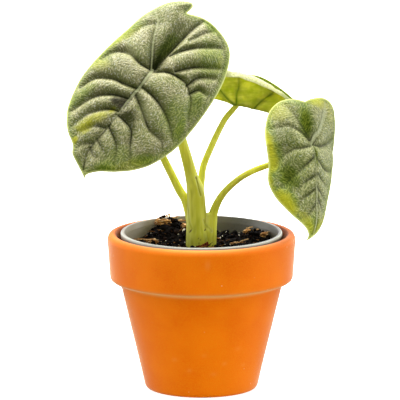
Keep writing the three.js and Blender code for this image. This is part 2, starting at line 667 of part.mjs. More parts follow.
// The bent sheet under the quilting: a curved midrib, with each half folded and curled about it
function sheetAt(leaf, a, b) {
  const bend = radians(a > 0 ? leaf.bend.tip : leaf.bend.base);
  const turn = Math.abs(a) * bend;
  const sign = Math.sign(a);
  const point = new THREE.Vector3(...leaf.attach)
    .addScaledVector(leaf.tangent, (sign * Math.sin(turn)) / bend)
    .addScaledVector(leaf.normal, -(1 - Math.cos(turn)) / bend);
  const up = leaf.normal
    .clone()
    .multiplyScalar(Math.cos(turn))
    .addScaledVector(leaf.tangent, sign * Math.sin(turn));
  const crease = leaf.creased ? valueAt(leaf.midribLine.map((p) => [p.x, p.y]), a) : 0;
  const side = b < crease ? -1 : 1;
  const half = b < crease ? leaf.left : leaf.right;
  point.addScaledVector(leaf.across, crease);
  const twist = radians(leaf.lobeTwist) * Math.min(a, 0);
  const out = leaf.across.clone().multiplyScalar(Math.cos(twist)).addScaledVector(up, Math.sin(twist));
  up.multiplyScalar(Math.cos(twist)).addScaledVector(leaf.across, -Math.sin(twist));
  const reach = valueAt(half.reach, a);
  const angleAt = (w) => {
    const folded = half.fold * (1 - Math.exp(-((w / KEEL_ROUNDING) ** 2)));
    return radians(folded + half.curl * w + half.edge * Math.min(w / reach, MARGIN_ROLL) ** 4);
  };
  const width = Math.abs(b - crease);
  const step = width / SHEET_STEPS;
  let sideways = 0;
  let upwards = 0;
  for (let k = 0; k < SHEET_STEPS; k++) {
    const angle = angleAt(step * (k + 0.5));
    sideways += step * Math.cos(angle);
    upwards += step * Math.sin(angle);
  }
  point.addScaledVector(out, side * sideways).addScaledVector(up, upwards);
  const face = angleAt(width);
  const normal = up.multiplyScalar(Math.cos(face)).addScaledVector(out, -side * Math.sin(face));
  return { point, normal };
}

function isInside(outline, a, b) {
  let inside = false;
  outline.forEach((p, i) => {
    const q = outline[(i + 1) % outline.length];
    if (p.y > b !== q.y > b && a < ((q.x - p.x) * (b - p.y)) / (q.y - p.y) + p.x) inside = !inside;
  });
  return inside;
}

// Corners for a blade's triangles: along its margin and its veins, and evenly in between
function bladeCorners(leaf) {
  const random = seeded(11);
  const corners = [];
  const clear = (a, b, room) => corners.every((p) => Math.hypot(p.x - a, p.y - b) > room);
  const add = (line, room) => {
    for (const p of line) if (clear(p.x, p.y, room)) corners.push(new THREE.Vector3(p.x, p.y, 0));
  };
  const { grain, outline } = leaf;
  add([outline[0]], 0);
  add(outline, grain * LINE_SPACING);
  const marginCount = corners.length;
  const insideBy = (p, room) =>
    isInside(outline, p.x, p.y) && distanceTo(leaf.margin, p.x, p.y).distance > room;
  for (const line of [leaf.midribLine, ...leaf.veinLines.map((vein) => vein.line), leaf.valleyLine])
    add(line.filter((p) => insideBy(p, grain * MARGIN_ROOM)), grain * LINE_SPACING);
  const box = new THREE.Box2().setFromPoints(outline);
  for (let a = box.min.x; a < box.max.x; a += grain * ROW_SPACING)
    for (let b = box.min.y; b < box.max.y; b += grain) {
      const p = { x: a + random() * SCATTER, y: b + random() * SCATTER };
      if (insideBy(p, grain * MARGIN_ROOM) && clear(p.x, p.y, grain * LEAST_SPACING))
        corners.push(new THREE.Vector3(p.x, p.y, 0));
    }
  return { corners, marginCount };
}

// Delaunay triangles: the underside of the convex hull of the corners lifted onto a bowl
function triangulate(leaf, corners, marginCount) {
  const lifted = corners.map(({ x, y }) => new THREE.Vector3(x, y, (x * x + y * y) / BOWL_WIDTH));
  const indexOf = new Map(lifted.map((p, i) => [p, i]));
  const order = corners.slice(0, marginCount).map((p) => {
    let best = 0;
    leaf.outline.forEach((q, i) => {
      const held = leaf.outline[best];
      if (Math.hypot(q.x - p.x, q.y - p.y) < Math.hypot(held.x - p.x, held.y - p.y)) best = i;
    });
    return [best, p];
  });
  const polygon = order.sort((p, q) => p[0] - q[0]).map(([, p]) => p);
  const triangles = [];
  for (const face of new ConvexHull().setFromPoints(lifted).faces) {
    if (face.normal.z >= 0) continue;
    const ids = [0, 1, 2].map((i) => indexOf.get(face.getEdge(i).head().point));
    const [p, q, r] = ids.map((i) => corners[i]);
    const middle = [(p.x + q.x + r.x) / 3, (p.y + q.y + r.y) / 3];
    if (isInside(polygon, ...middle)) triangles.push([ids[0], ids[2], ids[1]]);
  }
  return triangles;
}

// A blade: upper and lower faces that share their triangles, joined round the margin
function blade(leaf, grow = 0) {
  const { corners, marginCount } = bladeCorners(leaf);
  const triangles = triangulate(leaf, corners, marginCount);
  const upper = [];
  const lower = [];
  for (const { x, y } of corners) {
    const { point, normal } = sheetAt(leaf, x, y);
    const { height, rib } = quilting(leaf, x, y);
    upper.push(point.clone().addScaledVector(normal, height + grow).toArray());
    lower.push(point.clone().addScaledVector(normal, height - BLADE_THICKNESS - rib - grow).toArray());
  }
  const count = corners.length;
  const borders = new Map();
  for (const [p, q, r] of triangles)
    for (const [from, to] of [[p, q], [q, r], [r, p]])
      if (!borders.delete(`${to} ${from}`)) borders.set(`${from} ${to}`, [from, to]);
  const walls = [...borders.values()].flatMap(([p, q]) => [
    [p, p + count, q + count],
    [p, q + count, q],
  ]);
  const under = triangles.map(([p, q, r]) => [p + count, r + count, q + count]);
  return bufferGeometry([...upper, ...lower], [...triangles, ...under, ...walls]);
}

// A stalk run into its blade and trimmed just short of the blade's lower face
function stalkTo(leaf, route, sides, cutters = []) {
  const { point, normal } = sheetAt(leaf, 0, 0);
  const { height } = quilting(leaf, 0, 0);
  const seat = point.addScaledVector(normal, height - BLADE_THICKNESS);
  const whole = [...route, [...seat.toArray(), STALK_END_RADIUS]];
  return without(stalk(whole, sides), [...cutters, blade(leaf, GAP)]);
}

const largeLeaf = preparedLeaf(LARGE_LEAF);
const middleLeaf = preparedLeaf(MIDDLE_LEAF);
const rightLeaf = preparedLeaf(RIGHT_LEAF);
const rearLeaf = preparedLeaf(REAR_LEAF);

const buriedPieces = [
  stalk(LARGE_STALK.slice(0, BURIED_POINTS), COLUMN_SIDES, GAP),
  stalk(RIGHT_STALK.slice(0, BURIED_POINTS), STALK_SIDES, GAP),
  ...BARK_CHIPS.map((chip, i) => barkChip(chip, i, GAP)),
];
const sheathedStalks = [MIDDLE_STALK, RIGHT_STALK, REAR_STALK].map((route) =>
  stalk(route, STALK_SIDES, GAP),
);

const pieces = [
  ["terracotta_pot", terracottaPot(), clay],
  ["grower_pot", growerPot(), plastic],
  ["potting_soil", pottingSoil(buriedPieces), pottingMix],
  ["stalk_large", stalkTo(largeLeaf, LARGE_STALK, COLUMN_SIDES, sheathedStalks), stalkGreen],
  ["stalk_middle", stalkTo(middleLeaf, MIDDLE_STALK, STALK_SIDES), stalkGreen],
  ["stalk_right", stalkTo(rightLeaf, RIGHT_STALK, STALK_SIDES), stalkGreen],
  ["stalk_rear", stalkTo(rearLeaf, REAR_STALK, STALK_SIDES), stalkGreen],
  ["dry_sheath", drySheath(), bark],
  ["blade_large", blade(largeLeaf), leafGreen],
  ["blade_middle", blade(middleLeaf), leafGreen],
  ["blade_right", blade(rightLeaf), leafGreen],
  ["blade_rear", blade(rearLeaf), leafGreen],
  ...BARK_CHIPS.map((chip, i) => [`bark_chip_${i + 1}`, barkChip(chip, i), bark]),
];

const plant = new THREE.Group();
for (const [name, geometry, material] of pieces) {
  const mesh = new THREE.Mesh(geometry, material);
  mesh.name = name;
  plant.add(mesh);
}

export default plant;
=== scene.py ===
# Looks of a potted alocasia: four quilted leaves on long stalks, potting mix, a grower's pot and a
# terracotta pot. Sizes are in millimetres, and each mesh is turned to metres as it is made.

import math

import bmesh
import bpy
import numpy as np
from mathutils import Matrix, Vector, kdtree, noise
from mathutils.geometry import delaunay_2d_cdt


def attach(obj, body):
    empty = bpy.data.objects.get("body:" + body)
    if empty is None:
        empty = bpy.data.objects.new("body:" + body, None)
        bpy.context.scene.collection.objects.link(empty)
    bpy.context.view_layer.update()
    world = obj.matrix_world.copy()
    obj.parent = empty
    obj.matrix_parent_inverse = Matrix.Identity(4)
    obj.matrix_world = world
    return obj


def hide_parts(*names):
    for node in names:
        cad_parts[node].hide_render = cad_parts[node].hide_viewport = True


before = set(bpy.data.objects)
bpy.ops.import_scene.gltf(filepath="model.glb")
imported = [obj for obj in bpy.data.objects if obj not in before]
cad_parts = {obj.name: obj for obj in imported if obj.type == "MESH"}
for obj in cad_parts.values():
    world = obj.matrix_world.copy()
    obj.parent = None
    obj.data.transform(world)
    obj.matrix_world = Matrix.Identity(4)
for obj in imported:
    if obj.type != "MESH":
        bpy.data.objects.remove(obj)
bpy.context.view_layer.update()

MM = 0.001  # metres in a millimetre

# How fine the meshes are
BLADE_PITCH = 0.45
RING_STEP = 0.6
TURNED_SIDES = 240
POT_PITCH = 1.2
SOIL_PITCH = 0.9
SOIL_SIDES = 360
CHIP_SUBDIVISIONS = 4
FOLD_STEPS = 24

# Camera: looks down by 11 degrees from 5 m, so that the view is 298 mm wide at the stem
CAMERA_TILT = 11
CAMERA_DISTANCE = 5000
CAMERA_TARGET = (-1.1, 0, 142)
VIEW_WIDTH = 298
SENSOR = 36
# The room is brightest above and a little behind the plant, and dark below it
ROOM_BRIGHT_SIDE = (-0.09, 0.26, 0.96)
ROOM_DARK_BELOW = -0.4
ROOM_BRIGHT = 1.9
FLOOR_REACH = 30  # metres
# Lamps: name, place in metres, width in metres for the round ones, and power in watts
ROUND_LAMPS = [
    ("key_above", (-0.2, 0.45, 1.9), 0.6, 34),
    ("backdrop", (0, 1.7, 0.7), 2.6, 26),
    ("left_strip", (-1.5, 0.35, 0.25), 0.8, 9),
    ("right_strip", (1.5, 0.35, 0.25), 0.8, 12),
]
POT_LAMPS = [
    ("pot_lamp", (0.5, -1.4, 0.1), 42),
    ("paper_bounce", (0.1, -1.1, -0.95), 58),
]
POT_LAMP_AIM = (0, 0, 0.055)  # metres
POT_LAMP_ANGLE = 13
POT_LAMP_WIDTH = 0.15  # metres

# Terracotta pot
POT_HEIGHT = 116.8
POT_BASE_RADIUS = 41.6
POT_BODY_FLARE = 0.239
POT_FLOOR = 8
POT_INNER_BASE_RADIUS = 36.5
POT_DRAIN_RADIUS = 9
BAND_BOTTOM = 82
BAND_BOTTOM_RADIUS = 68.4
BAND_TOP_RADIUS = 70.3
POT_MOUTH_RADIUS = 63.2

# Grower's pot
GROWER_BOTTOM = 27.8
GROWER_TOP = 118.1
GROWER_BASE_RADIUS = 41.9
GROWER_NECK_RADIUS = 58
GROWER_LIP_RADIUS = 60.3
GROWER_LIP_HEIGHT = 4
GROWER_LIP_WIDTH = 2.6
GROWER_LEAN = 0.012
GROWER_LEAN_FROM = 100
GROWER_WALL = 1

# Potting mix
SOIL_LEVEL = 107
MOUNDS = [
    dict(x=-25, y=42, radius=15, height=10),
    dict(x=43, y=27, radius=12, height=6.5),
]
SOIL_LUMPS = [(9, 1.4, 1), (3.5, 1.3, 2), (1.6, 0.7, 3)]  # width, height and seed
COLUMN_X = -2.6
CRUMBS = 1500
PERLITE_GRAINS = 60
PILED_CRUMBS = 160
PILE_MIDDLE = (-27, 46)
PILE_SPREAD = (8, 2.5)
SLIVERS = 60
# To the right of this the crumbs are darker, and this is how much of their paleness they keep there
DARK_FROM_X = 16
DARK_SIDE_TONE = 0.45
# The dry scrap at the column's foot: its lowest edge, and the turns from +X where it starts and ends
SCRAP_FOOT = 108.3
SCRAP_SWEEP = (-97, -36)
SCRAP_STEPS = 40
SCRAP_LEVELS = 8
# How far its inner and its outer face stand off the column
SCRAP_FACES = (0.3, 1.0)

# Leaf tissue
BLADE_THICKNESS = 0.9
MARGIN_THICKNESS = 0.35
VEIN_RIB = 0.8
MIDRIB_RIB = 1.4
RIB_WIDTH = 2.2
KEEL_ROUNDING = 1.6
MARGIN_ROLL = 1.1
WRINKLE_PITCH = 1.15
WRINKLE_LENGTH = 2.2
WRINKLE_HEIGHT = 0.24
WRINKLE_SHARE = 0.36  # of the pitch that is ridge
WRINKLE_TURN = 0.7  # how far wrinkles turn away from their vein
WRINKLE_SWAY = 0.5
SKIN_GRAIN = 0.62
# Half widths in the quilting's grooves: the midrib's floor, the painted shade beside pale ribs, the dark
# vein lines, the painted shade in the hollows, and the creases
MIDRIB_FLOOR = 0.7
SHADE_WIDTH = 0.7
INK_WIDTH = 0.66
HOLLOW_WIDTH = 1.6
CREASE_WIDTH = 1.9

# Where a stalk's colour or form changes: a height, and how far above or below it the change is full
COLUMN_PALE_TINT = (150, -40)
COLUMN_SHADE = (168, -55)
RIGHT_SHADE = (150, -12)
WEB_FOOT = (112, 8)
WEB_TOP = (132.6, -1.2)
WEB_REACH = 2.8

# Routes of the leaf stalks, bottom to top: x, y, z and radius
LARGE_STALK = [
    (-2.6, 0, 92, 8.6), (-2.6, 0, 108, 9.1), (-3.5, 0, 122, 7.8), (-3.8, 0, 136, 7.1),
    (-4.8, -0.3, 150, 6.6), (-7.3, -1, 160, 4.8), (-12, -2, 178, 4), (-17.5, -2, 196, 3.6),
    (-25, -1, 216, 3.2), (-33, -0.5, 231, 3), (-37, -2, 236.5, 2.8),
]
MIDDLE_STALK = [
    (-2.5, 2, 128, 2.8), (-1.1, 4, 145, 2.8), (0, 6, 156, 2.7), (1.7, 9, 166.8, 2.5),
    (8.4, 17, 181.7, 2.4), (16.8, 27, 197, 2.3), (23, 32.4, 204, 2.2),
]
RIGHT_STALK = [
    (6, 0, 92, 4), (6.6, 0, 108, 4.4), (7.5, 0, 123, 4), (9.8, 0, 135, 3.2),
    (16.4, -3, 147.8, 2.6), (27.2, -7, 158.8, 2.4), (37, -11, 165.6, 2.3), (49.5, -13, 170.9, 2.2),
    (62, -13.5, 175.6, 2.1), (72, -13.5, 180.6, 2.1), (79, -16.8, 186, 2.2),
]
REAR_STALK = [
    (-7, 3, 114, 2.9), (-8.4, 4, 126, 3.1), (-11.8, 6.6, 140, 3.3), (-16.8, 9.5, 148.5, 3.2),
    (-25, 14, 164.2, 2.9), (-36.4, 21.5, 185.5, 2.5), (-45, 27.5, 197, 2.2),
]

# Leaves. A leaf's own plane has "along" from the stalk towards the tip, and "across" to the right as
# the upper face is looked at with its tip down. Angles are in degrees, bends in degrees for each
# millimetre. A margin runs from the tip to the notch, and a vein from its root outwards, with how soft
# its groove is at its root and at its end. A patch of colour has a centre, two radii, a turn and a
# strength.
PLAIN_HALF = dict(fold=0, curl=0, edge=0, reach=[(0, 1)])
PLAIN_LEAF = dict(
    creased=False,
    lobe_twist=0,
    # how wide the painted glow of light through the margin is, on the underside and on the upper face
    pale_rim=1.0,
    upper_rim=1.0,
    crease=0.5,
    ink=0.75,
    # painted light and shade: how much darker faces that look down are painted, and how much paler those
    # that look up
    dust=0.35,
    puff=0.55,
    dimples=[],
    pale_veins={},
)
LARGE_LEAF = dict(
    PLAIN_LEAF,
    attach=(-35.5, -12, 243.5),
    heading=224,
    pitch=45,
    roll=-48,
    bend=dict(tip=0.22, base=0.35),
    right=dict(PLAIN_HALF, curl=-0.5),
    left=dict(PLAIN_HALF, curl=-0.95),
    crease=1.5,
    ink=1.15,
    dust=1,
    puff=0.85,
    right_margin=[
        (99, 3), (95, 1), (88.4, 7), (81.5, 18), (73, 28.7), (61, 38.3), (41, 46.7), (16, 50.4),
        (-13, 51), (-35, 48), (-52.5, 40.5), (-59.5, 28), (-61, 12), (-56, -2),
    ],
    left_margin=[
        (99, 3), (93.5, -6), (87.5, -16), (81.5, -19.7), (75, -28.7), (67, -35.3), (56, -41),
        (32, -45), (6, -41), (-20, -33.5), (-38, -28.5), (-56, -18.5), (-66, -6), (-64.5, -1), (-56, -2),
    ],
    valley=dict(line=[(-4, 0), (-19, -1), (-37, 0), (-56, 2)], depth=(6.5, 1), dark=1.8, width=7),
    dimples=[dict(at=(42, 6), radius=6, depth=2.5), dict(at=(37, -7), radius=5, depth=1.2)],
    midrib=[(-1, 0), (18, -1), (34, -3), (59, -5), (71, -7), (82, -7), (93, -3)],
    pale_midrib=[(0, 0.9, 1), (25, 0.75, 1), (45, 0.4, 0.5), (55, 0.3, 0)],
    pale_veins={1: 0.5},
    veins=[
        ([(0, 0), (2, -10), (-1, -21), (3, -32), (12, -38)], (0.6, 2.5)),
        ([(0, -1), (-14, -9), (-24, -13), (-35, -16), (-45, -24)], (0.6, 2.5)),
        ([(-33, -17), (-27, -23), (-13, -28)], (3, 3.5)),
        ([(20, -2), (22, -12), (23, -22), (29, -34), (40, -40)], (0.5, 2)),
        ([(30, -3), (34, -16), (43, -27), (60, -35)], (0.5, 2)),
        ([(42, -4), (45, -12), (55, -22), (70, -28)], (1, 3)),
        ([(58, -6), (62, -14), (74, -22)], (1.8, 3.5)),
        ([(73, -8), (77, -13), (82, -16)], (2.2, 3.5)),
        ([(0, 2), (-4, 10), (-5.5, 20), (-4.5, 28), (4, 37), (15, 42), (24, 48)], (0.5, 2.5)),
        ([(-4, 28), (-15, 32), (-24, 43)], (0.6, 2)),
        ([(0, 33), (-7, 37), (-8, 44)], (0.8, 2)),
        ([(17, 0), (19, 14), (26, 29), (38, 42)], (0.5, 2)),
        ([(25, 0), (33, 11), (41, 22), (43, 34), (50, 40)], (0.6, 2.5)),
        ([(45, -3), (48, 10), (60, 17), (71, 24)], (0.6, 2.5)),
        ([(56, -4), (65, 8), (78, 14)], (1.4, 3)),
        ([(69, -6), (73, 1), (77, 7)], (2.2, 3.5)),
        ([(-2, 1), (-27, 5), (-45, 8), (-59, 12)], (0.5, 1.5)),
        ([(-17, 5), (-31, 15), (-38, 22), (-49, 34)], (1.5, 2)),
        ([(-36, 11), (-48, 17), (-59, 24)], (2.8, 3)),
        ([(-8, 15), (-20, 25), (-27, 34), (-35, 44)], (0.8, 2.5)),
        ([(77, -7), (80, -3), (81, 0)], (2.2, 3)),
        ([(-59, 12), (-54, 31), (-35, 44), (-8, 46), (21, 46), (50, 39), (71, 24)], (3.2, 3.8)),
    ],
    patches=dict(
        yellowing=[
            ((57, -16), (19, 5), -31, 0.6), ((61.5, -17.5), (6, 3), -31, 0.85),
            ((66, -19), (8, 5), -31, 0.8), ((73, 24), (16, 6), -45, 0.25), ((44, -9), (4, 2.5), -31, 0.8),
            ((78, -20), (4, 3), 0, 0.9), ((-12, -31), (20, 4), -25, 0.35), ((17, -36), (7, 12), 0, 0.3),
            ((-38, 39), (8, 4), 20, 0.3),
        ],
        bruise=[
            ((37, -10.2), (4.6, 4), 126, 0.85), ((34, -6), (5.4, 3.6), 126, 0.8),
            ((37.4, -5.4), (4.6, 3), 126, 0.85), ((35.6, -8), (9.5, 6), 126, 0.35),
        ],
        pale_highlight=[((-1, -20), (10, 7), 0, 0.2), ((31, 13), (9, 8), 0, 0.17)],
        green_shade=[((-24, 0), (14, 5), 0, 0.4)],
        shadowed=[
            ((-10.5, -1.3), (7.5, 3.2), 0, 0.95), ((41.5, 2), (8.5, 4.4), 125, 0.75),
            ((42.5, 5), (8, 4.6), 105, 0.75), ((45, 8), (8, 3.8), 45, 0.6),
            ((42, 4.5), (13, 9), 120, 0.35), ((35.6, -8), (7, 4.2), 126, 0.5),
            ((6, 42), (11, 6), 0, 0.25), ((-14, -1), (16, 6), 0, 0.5), ((-48, -9), (13, 9), 0, 0.16),
        ],
        fresh=[
            ((26, 40), (14, 6), 10, 0.9), ((80, 10), (12, 6), -40, 0.7), ((64, 28), (16, 5), -45, 0.8),
            ((-38, 37), (14, 6), 20, 0.7), ((-58, 19), (10, 6), 60, 0.6), ((-14, -32), (24, 5), -25, 0.6),
            ((12, -37), (16, 7), -15, 0.4), ((-20, -1), (16, 5), 0, 0.7), ((-34, 33), (22, 18), 0, 0.55),
            ((22, 33), (20, 14), 0, 0.6), ((5, 40), (20, 9), 0, 0.7), ((47, -35), (18, 6), -20, 0.5),
            ((70, 14), (14, 10), -40, 0.6),
        ],
    ),
)
MIDDLE_LEAF = dict(
    PLAIN_LEAF,
    attach=(27, 35, 209.4),
    heading=6,
    pitch=13,
    roll=-15,
    bend=dict(tip=0.12, base=0.1),
    right=dict(PLAIN_HALF, fold=60, curl=-0.2),
    left=dict(
        fold=54,
        curl=0,
        edge=-150,
        reach=[
            (-34, 26), (-28, 36), (-6, 40), (6, 37.6), (20, 32), (28, 27.4), (40, 19), (50, 12), (62, 4),
        ],
    ),
    pale_rim=3.5,
    upper_rim=0.35,
    crease=0.4,
    ink=1.15,
    dust=0.3,
    puff=0.2,
    right_margin=[
        (62, 2), (56, 7), (50, 12), (41.5, 18.2), (33.5, 23.3), (25.5, 27.5), (19, 30.2), (13, 31.3),
        (8, 30.8), (0, 29.5), (-12, 28), (-20, 26), (-29, 18), (-32, 8), (-28, 0),
    ],
    left_margin=[
        (62, 2), (56, -5), (50, -11.5), (40, -18.4), (28, -26.6), (20, -31.2), (6, -36.8), (-6, -38.6),
        (-20, -36.5), (-29, -31), (-34, -21), (-34, -10), (-28, 0),
    ],
    valley=dict(line=[(-3, 0), (-28, 0)], depth=(1, 0.5), dark=0.3, width=5),
    midrib=[(-1, 0), (20, 0.5), (40, 0), (58, 1)],
    pale_midrib=[(0, 0.7, 0.7), (40, 0.4, 0.2)],
    veins=[
        ([(-1, -1), (-3, -9), (-3, -16), (-6, -28)], (0.6, 2)),
        ([(-2, -1), (-9, -4), (-18, -12), (-24, -20)], (0.6, 2)),
        ([(13, -1), (17, -9), (22, -17), (23, -25)], (0.6, 2)),
        ([(27, 0), (33, -8), (38, -15)], (0.7, 2.5)),
        ([(40, 0), (45, -5), (49, -8)], (1, 3)),
        ([(-1, 1), (-2, 10), (-5, 18), (-8, 28)], (0.6, 2)),
        ([(-2, 1), (-10, 5), (-19, 12), (-25, 20)], (0.6, 2)),
        ([(12, 1), (17, 11), (22, 19), (23, 27)], (0.6, 2)),
        ([(26, 1), (32, 9), (38, 17)], (0.7, 2.5)),
        ([(40, 1), (45, 6), (49, 10)], (1, 3)),
    ],
    patches=dict(
        yellowing=[],
        pale_highlight=[((8, -38), (62, 20), 0, 0.9)],
        green_shade=[((20, 26), (80, 34), 0, 1)],
        fresh=[((20, 22), (60, 30), 0, 1)],
    ),
)
RIGHT_LEAF = dict(
    PLAIN_LEAF,
    attach=(83, -22, 188.7),
    heading=-84,
    pitch=65,
    roll=-29,
    bend=dict(tip=0.15, base=0.3),
    right=dict(PLAIN_HALF, fold=-26, curl=-0.3),
    left=dict(PLAIN_HALF, fold=-24, curl=-0.5),
    creased=True,
    lobe_twist=-0.5,
    right_margin=[
        (74.5, -6), (70, -0.5), (64.5, 5.5), (55, 12), (42, 17), (29, 23), (15, 28.5), (1, 32),
        (-12, 30.7), (-24, 28.5), (-33, 25.5), (-37.5, 19.5), (-38, 11), (-34, -3),
    ],
    left_margin=[
        (74.5, -6), (68.5, -4), (62, -7.5), (54, -17), (45, -26), (37, -31.5), (28, -34.5), (16, -34),
        (5, -35), (-6, -36), (-18, -35), (-31, -31), (-38, -23), (-38, -12), (-34, -3),
    ],
    valley=dict(line=[(-3, 0), (-18, -4), (-34, -5)], depth=(3.5, 1.5), dark=0.9, width=7),
    midrib=[(-1, 0), (7, 1), (22, 1.7), (44, 2.2), (58, 2.2), (68, 0)],
    pale_midrib=[(0, 0.6, 0.6), (25, 0.4, 0.3), (35, 0.45, 1), (70, 0.4, 1)],
    pale_veins={7: 1.5},
    veins=[
        ([(-3, -3), (-10, -9), (-15, -19), (-14, -30)], (0.6, 2.5)),
        ([(1, -1), (3, -8), (4, -15), (9, -23), (17, -29)], (1, 2.5)),
        ([(9, 1), (15, -5), (25, -16), (33, -24)], (1, 3)),
        ([(23, 2), (27, -4), (31, -9), (37, -13)], (1, 3)),
        ([(33, 2), (38, -4), (42, -9), (48, -12)], (1, 3)),
        ([(45, 2), (50, -2), (56, -6)], (1.2, 3)),
        ([(-2, -1), (-14, -8), (-26, -13), (-34, -18)], (1.5, 3)),
        ([(-2, 1), (-7, 4), (-12, 8), (-23, 13), (-34, 16)], (0.8, 2)),
        ([(0, 1), (0, 10), (-4, 20), (-10, 28)], (0.8, 2.5)),
        ([(11, 3), (17, 12), (18, 20), (16, 28)], (0.8, 2.5)),
        ([(23, 4), (27, 9), (31, 16)], (0.8, 2.5)),
        ([(33, 3), (38, 8), (42, 11)], (0.8, 2.5)),
        ([(42, 4), (47, 7), (50, 9)], (1, 3)),
    ],
    patches=dict(
        yellowing=[
            ((2, -34), (20, 6.5), 8, 1), ((14, -31), (10, 6), 0, 0.9), ((29, -34), (12, 4), 10, 0.7),
            ((46, -21), (15, 8), 40, 1), ((-29, -23), (11, 10), 0, 0.4), ((-33, 9), (6, 12), 0, 0.6),
            ((-26, 21), (12, 5), 0, 0.3), ((60, -5), (12, 6), 30, 0.6), ((62, 5), (12, 4), -30, 0.5),
        ],
        green_shade=[((24, -19), (14, 8), 20, 0.6), ((-16, -4.5), (15, 5), 0, 0.7), ((8, 2), (12, 2.4), 0, 0.7)],
        shadowed=[
            ((6, 1.5), (8, 2), 0, 0.5), ((-6, -22), (15, 13), 0, 0.45), ((-11, -26), (9, 7), 0, 0.2),
            ((16, -16), (12, 10), 0, 0.3), ((25, -18), (11, 6), 20, 0.45), ((-10, -4), (9, 3), 0, 0.4),
        ],
        fresh=[
            ((10, 0), (75, 60), 0, 0.35), ((26, -19), (13, 11), 0, 0.95), ((-19, -4.5), (18, 7), 0, 1),
            ((62, 0), (14, 8), 0, 0.8), ((40, -20), (16, 8), 45, 0.9), ((10, -29), (26, 9), 0, 0.9),
            ((16, -12), (22, 12), 0, 0.35), ((-12, -31), (16, 7), 0, 0.6), ((10, 24), (26, 7), -20, 0.5),
        ],
    ),
)
REAR_LEAF = dict(
    PLAIN_LEAF,
    attach=(-50, 31, 203),
    heading=143,
    pitch=26,
    roll=0,
    bend=dict(tip=0.45, base=0.4),
    right=dict(PLAIN_HALF, fold=6, curl=-1.1),
    left=dict(PLAIN_HALF, fold=6, curl=-1.1),
    right_margin=[
        (52, 1), (47, 4), (41, 11), (32, 18), (20, 24), (6, 26), (-9, 25), (-20, 20), (-26, 12),
        (-27, 5), (-23, 0),
    ],
    left_margin=[
        (52, 1), (47, -2), (41, -9), (32, -17), (20, -23), (6, -25), (-9, -24), (-20, -19),
        (-27, -11), (-28, -4), (-23, 0),
    ],
    valley=dict(line=[(-3, 0), (-23, 0)], depth=(2.5, 0.5), dark=0.6, width=5),
    midrib=[(-1, 0), (20, -0.5), (48, 1)],
    pale_midrib=[(0, 0.7, 0.7), (40, 0.4, 0.2)],
    veins=[
        vein
        for side in (-1, 1)
        for vein in (
            ([(0, side), (-3, 9 * side), (-4, 20 * side)], (0.6, 2.5)),
            ([(-1, side), (-11, 4 * side), (-21, 11 * side)], (0.6, 2.5)),
            ([(8, side), (12, 10 * side), (14, 20 * side)], (0.6, 2.5)),
            ([(19, side), (24, 8 * side), (28, 16 * side)], (0.7, 2.5)),
            ([(31, side), (36, 6 * side), (39, 10 * side)], (1, 3)),
        )
    ],
    patches=dict(
        yellowing=[],
        fresh=[((0, 0), (20, 20), 0, 0.3)],
    ),
)

# Edges of the old leaf sheaths on the column: a line in x and z, its width, its depth and how dark it is
SHEATH_EDGES = [
    ([(-3.8, 160.4), (-2.2, 153), (-0.4, 146.5)], 0.5, 0.6, 0.8),
    ([(-11.4, 150.5), (-10.2, 138), (-9.3, 127), (-7.1, 121.5)], 0.6, 0.35, 0.35),
    ([(1.8, 128), (2.6, 125.5), (4.8, 122.5), (7.6, 119)], 0.5, 0.45, 0.3),
]
# Scars on the column: centre in x and z, two radii, a turn in degrees and a strength
STEM_SCARS = [
    ((-3.9, 159.6), (0.5, 1.3), 15, 1),
    ((-11.7, 143), (0.6, 2), -8, 1),
    ((-8.2, 119.6), (0.6, 1.9), -35, 0.9),
    ((3.0, 120.4), (0.6, 1.5), -45, 0.9),
    ((-2.2, 114.5), (0.5, 0.6), 0, 0.6),
    ((-0.6, 113.3), (0.6, 0.7), 0, 0.6),
    ((-1.6, 110.5), (0.5, 1.1), 10, 0.7),
    ((6.4, 134.6), (0.5, 1.3), 10, 0.7),
]

# Pale scuffs on the front of the terracotta pot: x and z, two radii and a strength
SCUFFS = [
    (4.6, 106.5, 1.4, 3.4, 0.14),
    (-20, 30, 2, 1.4, 0.1),
    (-9, 22, 1.6, 1.2, 0.14),
    (2, 34, 1.8, 1.2, 0.08),
    (9, 19, 2.2, 1.3, 0.1),
    (17, 27, 1.5, 1.2, 0.14),
    (27, 38, 2, 1.5, 0.08),
    (31, 24, 1.6, 1.2, 0.1),
]

# Bark chips: centre, length, width and height, and the turn about +Z in degrees
BARK_CHIPS = [
    dict(x=-42, y=14, size=(22, 8, 4.5), turn=-12),
    dict(x=-29, y=41, size=(13, 6, 5), turn=20),
    dict(x=-14, y=44, size=(10, 7, 4.5), turn=-35),
    dict(x=35, y=33, size=(8, 6, 5), turn=40),
    dict(x=27, y=8, size=(14, 2.6, 2.4), turn=24),
    dict(x=47, y=20, size=(9, 6, 4), turn=75),
    dict(x=6, y=-15, size=(12, 4, 3.5), turn=30),
    dict(x=-25, y=-25, size=(12, 7, 4), turn=55),
    dict(x=28, y=-28, size=(10, 6, 4), turn=-20),
]
